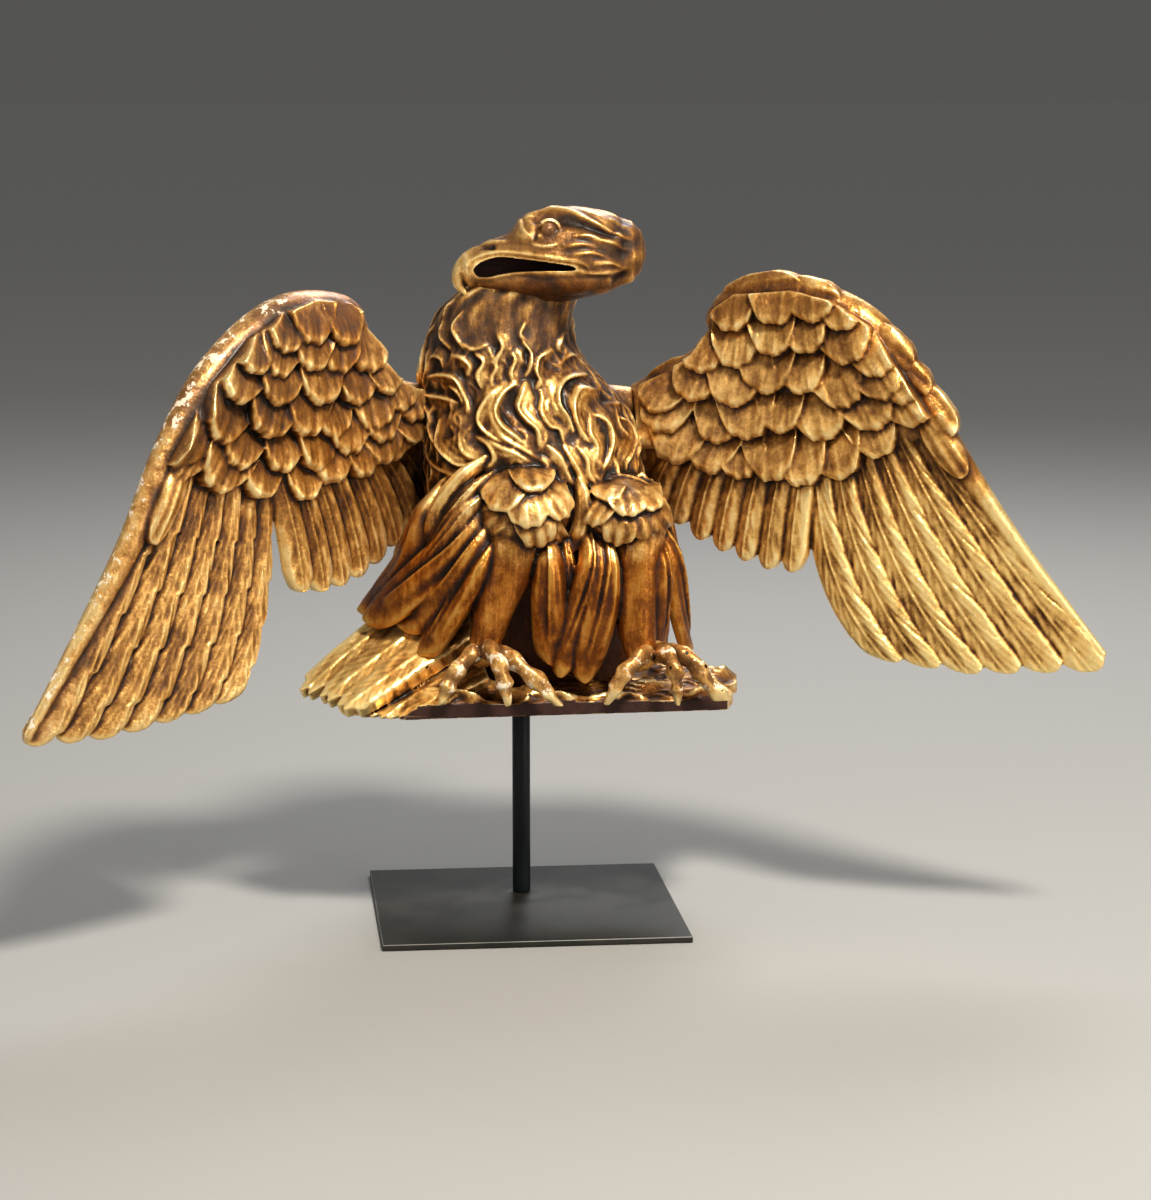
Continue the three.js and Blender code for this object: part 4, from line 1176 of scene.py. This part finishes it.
TRUNK_VOXEL = 0.68
body_solids = [trunk()]
body_solids += [limb(stations, (1, 0, 0), 90) for stations in SHINS]
body_solids += knee(KNEES[0], 11) + knee(KNEES[1], 47)
body_solids += [hanging_feather(*feather, n) for n, feather in enumerate(HANGING)]
for wing in (LEFT_WING, RIGHT_WING):
    side, joint, x, y = wing["side"], wing["joint"], wing["x"], wing["y"]
    shoulder = [
        [x - side * 46, 22, 236, 28, 20], [joint - side * 12, y - 4, 234, 27, 17],
        [joint, y - 2, 233, 26, 14],
    ]
    body_solids.append(limb(shoulder, UP, 40))
carved_trunk = fused("carved_trunk", body_solids, TRUNK_VOXEL)
place, _ = mask_relief(carved_trunk)
x, y, z = place.T
neck = smooth(262, 300, z)
thigh = smooth(200, 188, z)
near_knee = 0
for form in KNEES:
    (knee_x, _, knee_z), (wide, _, tall) = form["place"], form["size"]
    off_knee = ((x - knee_x) / wide) ** 2 + ((z - knee_z) / tall) ** 2
    near_knee = np.maximum(near_knee, smooth(1.35, 1.0, off_knee) * (y < -20))
lock = carve_rims(trunk_turn(x, z), z, STROKES) * smooth(0, -8, y) * (1 - near_knee)
on_lock = smooth(0.35, 1.7, lock)
paint(
    carved_trunk, "tone",
    0.62 + 0.3 * neck - 0.5 * thigh - 0.2 * near_knee + 0.1 * smooth(-10, 20, y) - 0.6 * on_lock * (1 - neck),
    (0.15 + 0.95 * on_lock) * (1 - 0.7 * neck) * (1 - thigh) * smooth(-5, -20, y) + 0.15 * near_knee,
    0.1 * near_knee,
)
# Painted shade: the hollow behind the hanging feathers and between the shins is painted dark with the sawn
# wood's colour
behind = smooth(-25, -13, y) * smooth(-30, -20, x) * smooth(72, 62, x) * smooth(196, 184, z) * (y < 10)
paint(carved_trunk, "finish", smooth(216, 190, z) * (1 - 0.7 * near_knee), 0.75 * behind, 0.0)
finished(carved_trunk, "eagle_body", gilded("gilding_of_body", 0.49, 0.4, 0.8))


# The head looks to the left. It is carved from the body's wood, but smoother: a flat crown, a long
# overhanging brow, a small round eye, a hooked beak and a wide open mouth cut deep into each side.
HEAD_Y = -5
# Sections from the back of the head forwards: x and height of the middle, half height, half width
HEAD = [
    [47, 329.3, 16.5, 12.5], [38, 329.3, 20.4, 18.5], [25, 328.5, 22.2, 21], [10, 326.8, 22.3, 19.5],
    [2, 325.8, 20.3, 17], [-5, 324.6, 14.6, 14], [-16, 323, 12, 11.5], [-25, 321.6, 9.2, 8],
]
HOOK = [
    [-16, 327, 7, 8.5], [-24, 325.5, 6.2, 7], [-30, 321, 4.8, 5.4], [-32, 315, 3.2, 3.6],
    [-28.5, 309, 1, 1.2],
]
JAW = [
    [-21, 315.6, 3.8, 7.5], [-13, 315.8, 6, 11], [-3, 316, 8.2, 13.8], [10, 316.4, 9.4, 17.6],
    [24, 317, 9.6, 18.9], [36, 319, 9, 16.5],
]
# The open mouth's outline, from the lower lip's tip over the upper lip and back: x and height
MOUTH = [
    [-24.5, 319.5], [-25, 322], [-21.4, 325.3], [-13.5, 327.7], [-3.5, 327], [8, 325.7], [18, 324.2],
    [22.4, 323], [22.4, 321.8], [18, 321.2], [8, 321.2], [-3.5, 320.5], [-12, 319.3], [-18, 317.8],
    [-22.5, 318],
]
MOUTH_WEB = 4
MOUTH_REACH = 40  # how far to each side the mouth is cut, past the head
EYE = dict(x=10.5, z=340.5, out=15.2, radius=3.6)
# Rims on each side of the head: x and z of points, reach, lift
HEAD_RIMS = [
    ([(0, 346), (8, 349), (20, 348.5), (32, 344), (44, 338), (51, 333)], 6, 2.6),
    ([(1, 338), (-2, 341), (-2, 346), (3, 349)], 6, 1.2),
    ([(28, 344), (38, 341), (46, 335)], 3, 1.2),
    ([(-31, 320), (-26, 326), (-15, 329.6), (0, 329), (14, 327), (26, 325), (31, 320)], 5, 1.2),
    ([(22, 322), (30, 320.5), (38, 320.5), (50, 322)], -4, 1.2),
    ([(2, 334), (8, 333), (14, 334)], -3, 1.2),
    ([(18, 333), (26, 334), (34, 332)], 3, 1.1),
    ([(22, 329), (31, 330), (40, 327)], 3, 1.3),
    ([(34, 336), (42, 334), (50, 329)], 4, 1.3),
    ([(32, 325), (41, 325), (48, 322)], 3, 1.3),
    ([(22, 338), (30, 338), (38, 335)], -3, 1.0),
    ([(40, 345), (46, 342), (51, 337)], 3, 1.4),
    ([(-28, 330), (-20, 333.5), (-10, 335)], -3, 1.3),
]
# Hollows in the same way: x and z of points, half width, depth
HEAD_HOLLOWS = [
    ([(15, 346), (24, 344), (33, 341.5), (41, 338.5)], 2.6, 1.9),
    ([(5, 345.5), (10, 346.5), (16, 346)], 2.2, 2.0),
    ([(-25, 331.2), (-20, 332.4), (-16, 332.4)], 1.2, 2.4),
    ([(4, 337), (4.5, 340), (5, 343)], 1.5, 1.0),
    ([(30, 314.5), (40, 315.5), (48, 318)], 2.0, 1.4),
]


def in_head(stations, count=80, sides=48):
    return limb([[x, HEAD_Y, z, tall, wide] for x, z, tall, wide in stations], UP, count, sides)


def hollow_out(across, up, strokes):
    depth = np.zeros(across.shape)
    for points, half, deep in strokes:
        line = through(points, 24)
        gap = np.min(np.hypot(across[:, None] - line[:, 0], up[:, None] - line[:, 1]), axis=1)
        depth = np.maximum(depth, deep * np.exp(-((gap / half) ** 2)))
    return depth


def head():
    points, faces = in_head(HEAD, 260, 220)
    rows = through(HEAD, 140)
    order = np.argsort(rows[:, 0])
    middle = np.interp(points[:, 0], rows[order, 0], rows[order, 1])
    outward = unit(points - as_points(points[:, 0], HEAD_Y, middle))
    x, y, z = points.T
    relief = carve_rims(x, z, HEAD_RIMS, 0.9) - hollow_out(x, z, HEAD_HOLLOWS)
    relief += 0.5 * np.sin(z / 1.9 + 1.5 * np.sin(x / 5)) * smooth(16, 34, x)
    bare = np.clip(np.abs(y - HEAD_Y) / 4, 0, 1)
    solids = [(points + outward * (relief * bare)[:, None], faces), in_head(HOOK, 60), in_head(JAW, 80)]
    for way in (-1, 1):
        eye = (EYE["x"], HEAD_Y + way * EYE["out"], EYE["z"])
        solids.append(ball(eye, (EYE["radius"], 2.8, EYE["radius"]), 30, 40))
        lid = [
            [eye[0] + 5.2 * math.cos(b), eye[1] + way * 0.3, eye[2] + 4.8 * math.sin(b), 1.15, 1.15]
            for b in np.linspace(-2.6, 2.2, 14)
        ]
        solids.append(limb(lid, (0, 1, 0), 60, 20))
    return solids


def cut_with(piece, cutters):
    """Cuts closed solids out of a piece"""
    for points, faces in cutters:
        cutter = new_piece("cutter", points, faces)
        bpy.ops.object.mode_set(mode="EDIT")
        bpy.ops.mesh.select_all(action="SELECT")
        bpy.ops.mesh.normals_make_consistent(inside=False)
        bpy.ops.object.mode_set(mode="OBJECT")
        work(piece, "BOOLEAN", operation="DIFFERENCE", solver="EXACT", object=cutter)
        bpy.data.meshes.remove(cutter.data)


def prism(outline, low, high):
    """The solid between two copies of an outline in x and z, at two places along y"""
    front = as_points(outline[:, 0], low, outline[:, 1])
    back = front + np.array([0, high - low, 0])
    return tube(np.stack([front, back]), front.mean(0), back.mean(0))


HEAD_VOXEL = 0.6
carved_head = fused("carved_head", head(), HEAD_VOXEL)
mouth = through(MOUTH + MOUTH[:1], 120)[:-1]
cut_with(
    carved_head,
    [
        prism(mouth, HEAD_Y - MOUTH_REACH, HEAD_Y - MOUTH_WEB / 2),
        prism(mouth, HEAD_Y + MOUTH_WEB / 2, HEAD_Y + MOUTH_REACH),
    ],
)
place, _ = mask_relief(carved_head)
x, y, z = place.T
out = np.abs(y - HEAD_Y)
lower = np.interp(x, [-25, -18, -12, -3, 8, 23], [318.5, 317.6, 319, 320.3, 321, 321])
upper = np.interp(x, [-25, -21, -13, -3, 8, 23], [321.5, 325, 327.5, 327, 325.7, 323.4])
skin = np.interp(x, [-25, -17, -7, 1, 10, 25], [7, 10, 12, 14.5, 18, 20])
# Painted shade: the inside of the open mouth is painted dark with the sawn wood's colour
inside = (z > lower - 0.8) * (z < upper + 0.8) * (x > -27) * (x < 24) * smooth(0.6, 2.6, skin - out)
lips = smooth(4, 1.5, np.maximum(lower - z, z - upper)) * (x > -28) * smooth(30, 24, x)
# The underside of the jaw is darkened with amber as painted shade under the head
under = smooth(319, 315, z) * smooth(36, 26, x) * smooth(-26, -20, x)
eyeball = smooth(4, 2.6, np.hypot(x - EYE["x"], z - EYE["z"])) * (out > 12)
calm(carved_head, 0.5 * lips + 0.4 * under + eyeball)
patina = 0.6 + 0.25 * smooth(16, 36, x) - 0.2 * under + 0.5 * eyeball
paint(carved_head, "tone", patina, 0.4 * smooth(8, -10, x) * (1 - eyeball), 0.0)
paint(carved_head, "finish", 0.8 * under + 0.6 * eyeball, inside, 0.0)
finished(carved_head, "eagle_body", gilded("gilding_of_head", 0.42, 0.1, 0.8))


# The tail, the feet and the rock are the low end of the same carving. The tail spreads to the left in
# two layers of worn golden feathers, three knobbly toes on each foot grip the rock, and the rock is
# sawn flat below and along the front.
TAIL_NORMAL = unit(np.array([-0.25, -0.72, 0.64]))
# Its fans of feathers, each between two curves in space
TAIL_LAYERS = [
    dict(
        count=3, lift=5.0,
        inner=[[-26, -10, 140], [-60, -34, 124], [-84, -36, 108]],
        outer=[[-26, 26, 172], [-72, 10, 150], [-112, -10, 116]],
    ),
    dict(
        count=4, lift=0.3,
        inner=[[-20, -26, 124], [-44, -44, 116], [-58, -42, 106]],
        outer=[[-26, 16, 140], [-70, -2, 124], [-94, -26, 107]],
    ),
]
TAIL_FEATHER = dict(length=95, reach=17, barb=7)


def tail():
    solids = []
    t, v = feather_grid(130, 51)
    a = np.abs(v)
    for layer in TAIL_LAYERS:
        for i in range(layer["count"]):
            seed = i + 5 * layer["lift"]
            uneven = wavering(seed)
            tooth = np.modf(t * 9 + 5 * uneven)[0]
            way = t * (1 - 0.09 * a**2.4 + 0.05 * (uneven - 0.5) - 0.02 * np.sin(9 * v + seed))
            share = (i + 0.5 + 0.62 * v * (1 - 0.06 * (1 - tooth) * (v < 0))) / layer["count"]
            inner, outer = curve(layer["inner"], way), curve(layer["outer"], way)
            base = inner + (outer - inner) * share[..., None]
            quill = 0.8 * np.exp(-((v / 0.09) ** 2))
            slant = way * TAIL_FEATHER["length"] - TAIL_FEATHER["reach"] * a
            wave = 2 * np.pi * slant / TAIL_FEATHER["barb"] + 2 * seed + (v > 0) + 2 * np.sin(3 * t)
            barb = 0.14 * np.cos(wave) * np.sin(np.pi * a)
            worn = 0.25 * np.sin(23 * t + 3 * v + seed) * np.sin(4 * v + 9 * t)
            height = layer["lift"] + 0.6 * (1 - a**2) + 0.7 * quill + barb + worn + 0.4 * v - a**10
            front = base + TAIL_NORMAL * height[..., None]
            solids.append(shell(front, base - TAIL_NORMAL * (6.5 - 4 * t**3)[..., None]))
    return solids


# Points along each toe, from the ankle over the knuckles to the claw's tip
TOES = [
    [[-22, -33, 140], [-31, -44, 137], [-39, -49, 128], [-45, -50, 116]],
    [[-22, -34, 140], [-20, -48, 140], [-16, -56, 131], [-13, -56, 116]],
    [[-20, -33, 139], [-9, -45, 135], [3, -49, 124], [13, -48, 113]],
    [[60, -32, 135], [52, -44, 135], [43, -49, 127], [36, -48, 114]],
    [[62, -33, 136], [66, -48, 136], [69, -54, 127], [70, -52, 113]],
    [[63, -32, 136], [76, -42, 134], [86, -44, 122], [99, -40, 109]],
]


def toe(points, seed):
    t = np.linspace(0, 1, 90)
    place = through(points, 90)
    knuckles = 0.6 * np.cos(2 * np.pi * (2.6 * t + 0.6 * t**2 + 0.15 + 0.3 * wavering(seed)))
    size = np.interp(t, [0, 0.25, 0.7, 0.80, 0.86, 1], [5.6, 4.5, 4.1, 4.2, 3.2, 1.5]) + knuckles * (t < 0.82)
    points, faces = limb(np.column_stack([place, size, size * 0.85]), (0.2, 0.1, 1), 160)
    x, y, z = points.T
    gnarl = 0.8 * np.sin(x / 1.9 + seed) * np.sin(y / 2.3) + 0.6 * np.sin(z / 1.6 + x / 3.1 + seed)
    return points + gnarl[:, None] * np.array([0.4, -0.5, 0.6]), faces


BASE_FLOOR = 106
ROCK = dict(x=20, y=12, wide=84, deep=62)
FRONT_LEFT = (-57, -40)
FRONT_RIGHT = (100, -32)
SAW_TURN = math.atan2(FRONT_RIGHT[1] - FRONT_LEFT[1], FRONT_RIGHT[0] - FRONT_LEFT[0])


def rock():
    angle = np.linspace(0, 2 * np.pi, 360, endpoint=False)[None]
    share = np.linspace(0, 1, 110)[:, None]
    wobble = 1 + 0.05 * np.sin(3 * angle + 1) + 0.04 * np.sin(7 * angle) + 0.015 * np.sin(17 * angle + 2)
    reach = np.clip(1 - np.maximum(share - 0.25, 0) * 1.33, 0.01, 1)
    inset = 6 * np.clip((share - 0.12) / 0.13, 0, 1)
    across, away = np.cos(angle), np.sin(angle)
    square = (np.abs(across) ** 4 + np.abs(away) ** 4) ** -0.25
    x = ROCK["x"] + (ROCK["wide"] - inset) * wobble * across * square * reach
    y = ROCK["y"] + (ROCK["deep"] - inset) * wobble * away * square * reach
    sawn_and_shade = FRONT_LEFT[1] + (x - FRONT_LEFT[0]) * math.tan(SAW_TURN)
    broken = 1.6 + 1.2 * np.sin(x / 3.7) + 0.9 * np.sin(x / 1.9 + 1) + 9 * np.maximum(share - 0.25, 0)
    y = np.maximum(y, sawn_and_shade + np.clip((share - 0.12) / 0.05, 0, 1) * broken)
    crag = 1.7 * np.sin(x / 7.1 + 1.5 * np.sin(y / 6)) + 1.3 * np.sin(y / 4.9 + x / 11)
    crag = 0.45 * crag + 0.95 * np.round(crag + 0.5 * np.sin(x / 2.7 - y / 4.1))
    rise = np.interp(share, [0, 0.12, 0.25, 1], [0, 7, 10, 12])
    rise = rise * blend(1.0, 0.8, np.clip((x - FRONT_LEFT[0]) / 150, 0, 1))
    z = BASE_FLOOR + rise + crag * np.clip((share - 0.12) / 0.12, 0, 1)
    rings = np.concatenate([as_points(x[:1], y[:1], BASE_FLOOR), as_points(x, y, z)])
    return tube(rings, (ROCK["x"], ROCK["y"], BASE_FLOOR), rings[-1].mean(0))


def block(low, high, turn=0.0, about=(0, 0)):
    """A plain block for sawing with, turned about the upright through a place"""
    ring = np.array([[low[0], low[1]], [high[0], low[1]], [high[0], high[1]], [low[0], high[1]]], float)
    c, s = math.cos(turn), math.sin(turn)
    ring = ring @ np.array([[c, s], [-s, c]]) + np.array(about, float)
    rings = np.stack([as_points(*ring.T, low[2]), as_points(*ring.T, high[2])])
    return tube(rings, rings[0].mean(0), rings[1].mean(0))


BASE_VOXEL = 0.66
SAWN_LOW, SAWN_HIGH = 60, 113
BEYOND = 300  # past the carving on every side
toes = [toe(points, n) for n, points in enumerate(TOES)]
carved_base = fused("carved_base", [rock(), *tail(), *toes], BASE_VOXEL)
cut_with(
    carved_base,
    [
        block((-BEYOND, -BEYOND, SAWN_LOW), (BEYOND, 0, SAWN_HIGH), SAW_TURN, FRONT_LEFT),
        block((-BEYOND, -BEYOND, 0), (BEYOND, BEYOND, BASE_FLOOR)),
    ],
)
place, normal = mask_relief(carved_base)
x, y, z = place.T
on_toes = smooth(-40, -44, y) * smooth(116, 121, z)
calm(carved_base, 0.65 * on_toes)
front_line = FRONT_LEFT[1] + (x - FRONT_LEFT[0]) * math.tan(SAW_TURN)
on_front = (np.abs(y - front_line) < 0.8) * (z < SAWN_HIGH + 0.4) * (normal[:, 1] < -0.7)
on_floor = normal[:, 2] < -0.95
on_tail = smooth(-34, -52, x)
on_rock = (1 - on_tail) * (1 - on_toes)
paint(carved_base, "tone", 0.35 * on_rock + 0.6 * on_toes, 0.9 * on_tail, 0.1 * on_tail + 0.25 * on_toes)
paint(carved_base, "finish", 0.15 * on_rock, np.maximum(on_front, on_floor), 1.0)
finished(carved_base, "eagle_body", gilded("gilding_of_tail_and_base", 0.52, 0.15, 0.6))


# The rod is a round steel bar, drawn smooth and blackened to a satin blue-black. It stands on the
# plate, in a thin bead of weld, and goes up into the base.
BARE_STEEL_AND_HIGHLIGHT = (0.30, 0.29, 0.27, 1)


def blackened_steel():
    """The oxide on the steel: thin, cloudy and scuffed, and lighter where it is rubbed and where a highlight
    is painted on
    """
    tree, given, result = finish_group(
        "blackened_steel", ("Thin", "Thick"), ("Rubbed",), ("Roughness", "Height"),
    )
    place = step(tree, "TexCoord").outputs["Object"]
    cloud, grain = noise(tree, place, 38, 5), noise(tree, place, 1900, 2)
    colour = mix(tree, between(tree, cloud, 0.35, 0.68), given.outputs["Thick"], given.outputs["Thin"])
    # Rubbed places, and the painted highlight along the plate's top arris, turn towards bare steel
    scuffed = times(tree, given.outputs["Rubbed"], between(tree, cloud, 0.30, 0.55, 0.35, 1.0))
    colour = mix(tree, scuffed, colour, BARE_STEEL_AND_HIGHLIGHT)
    rough = between(tree, cloud, 0.3, 0.7, 0.36, 0.50)
    rough = plus_share(tree, rough, centred(tree, grain), 0.25)
    feed(tree, result, {"Color": colour, "Roughness": rough, "Height": grain})
    return tree


BLACKENED_STEEL = blackened_steel()


def steel(name, thin, thick, metal, bump):
    oxide = {"Thin": (*thin, 1), "Thick": (*thick, 1)}
    return dressed(name, BLACKENED_STEEL, oxide, ("rubbed",), {"Metallic": metal}, bump, 0.2 * MM)


def pick(piece, wanted):
    """Goes into edit mode with only the faces selected that the test likes"""
    for part in (*piece.data.vertices, *piece.data.edges):
        part.select = False
    for face in piece.data.polygons:
        face.select = wanted(face)
    bpy.ops.object.mode_set(mode="EDIT")
    bpy.ops.mesh.select_mode(type="FACE")


def primitive(add, name, **settings):
    bpy.ops.object.select_all(action="DESELECT")
    add(**settings)
    made = bpy.context.object
    made.name = name
    bpy.ops.object.transform_apply(location=True, rotation=True, scale=True)
    return made


def rub(piece, share):
    """Marks how far each corner's finish is rubbed bright, which along the plate's top arris is also a
    painted highlight
    """
    rubbed = piece.data.attributes.new("rubbed", "FLOAT", "POINT")
    rubbed.data.foreach_set("value", [share(corner.co / MM) for corner in piece.data.vertices])


SHARP_ANGLE = math.radians(32)


def of_steel(piece, node, material):
    only(piece)
    bpy.ops.object.shade_smooth_by_angle(angle=SHARP_ANGLE)
    piece.data.materials.append(material)
    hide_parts(node)
    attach(piece, "root")


rod_low, rod_high = (Vector(corner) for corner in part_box("mount_rod"))
rod_middle = (rod_low + rod_high) / 2
rod_radius = (rod_high.x - rod_low.x) / 2
ROD_ARRIS = 0.3 * MM
rod = primitive(
    bpy.ops.mesh.primitive_cylinder_add, "steel_rod",
    vertices=96, radius=rod_radius, depth=rod_high.z - rod_low.z, location=rod_middle,
)
pick(rod, lambda face: abs(face.normal.z) > 0.9)
bpy.ops.mesh.bevel(offset=ROD_ARRIS, segments=3, affect="EDGES")
bpy.ops.object.mode_set(mode="OBJECT")
rub(rod, lambda corner: 0.0)
BLUE_BLACK = steel("satin_blue_black", (0.0095, 0.0125, 0.0155), (0.0045, 0.0065, 0.0090), 0.25, 0.10)
of_steel(rod, "mount_rod", BLUE_BLACK)


# The foot is a square of steel plate with broken arrises, blackened and a little olive, and rubbed bright
# along its top edges, which also paints in the highlight along them. It swells slightly round the rod, which
# is welded to it.
PLATE_TOP = 3 * MM
PLATE_ARRIS = 0.45 * MM
SWELLING = 17.5 * MM
SWELLING_STEPS = ((3.5, 0.30), (4.0, 0.27), (4.5, 0.17), (0.6, -0.15))  # inwards and up, in mm
plate_low, plate_high = (Vector(corner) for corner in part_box("base_plate"))
plate = primitive(
    bpy.ops.mesh.primitive_cube_add, "steel_plate",
    size=1, location=(0, 0, PLATE_TOP / 2),
    scale=(plate_high.x - plate_low.x, plate_high.y - plate_low.y, PLATE_TOP),
)
pick(plate, lambda face: True)
bpy.ops.mesh.bevel(offset=PLATE_ARRIS, segments=3, affect="EDGES")
bpy.ops.object.mode_set(mode="OBJECT")
swelling = primitive(
    bpy.ops.mesh.primitive_cylinder_add, "swelling",
    vertices=128, radius=SWELLING, depth=PLATE_TOP / 2,
    location=(rod_middle.x, rod_middle.y, PLATE_TOP * 0.75),
)
pick(swelling, lambda face: face.normal.z > 0.9)
for inset, rise in SWELLING_STEPS:
    bpy.ops.mesh.inset(thickness=inset * MM)
    bpy.ops.transform.translate(value=(0, 0, rise * MM))
bpy.ops.object.mode_set(mode="OBJECT")
work(plate, "BOOLEAN", operation="UNION", solver="EXACT", object=swelling)
bpy.data.meshes.remove(swelling.data)
half_width, half_depth = plate_high.x / MM, plate_high.y / MM
# How bright the arris is rubbed, with a painted highlight along it, how far in that reaches and from what
# height, in mm
EDGE_RUB_AND_HIGHLIGHT, EDGE_REACH, EDGE_HEIGHT = 0.75, 0.44, 2.62


def edge_wear_and_highlight(corner):
    near = min(half_width - abs(corner.x), half_depth - abs(corner.y))
    return EDGE_RUB_AND_HIGHLIGHT if near < EDGE_REACH and corner.z > EDGE_HEIGHT else 0.0


rub(plate, edge_wear_and_highlight)
OLIVE_BLACK = steel("satin_olive_black", (0.036, 0.035, 0.028), (0.020, 0.0195, 0.016), 0.20, 0.18)
of_steel(plate, "base_plate", OLIVE_BLACK)
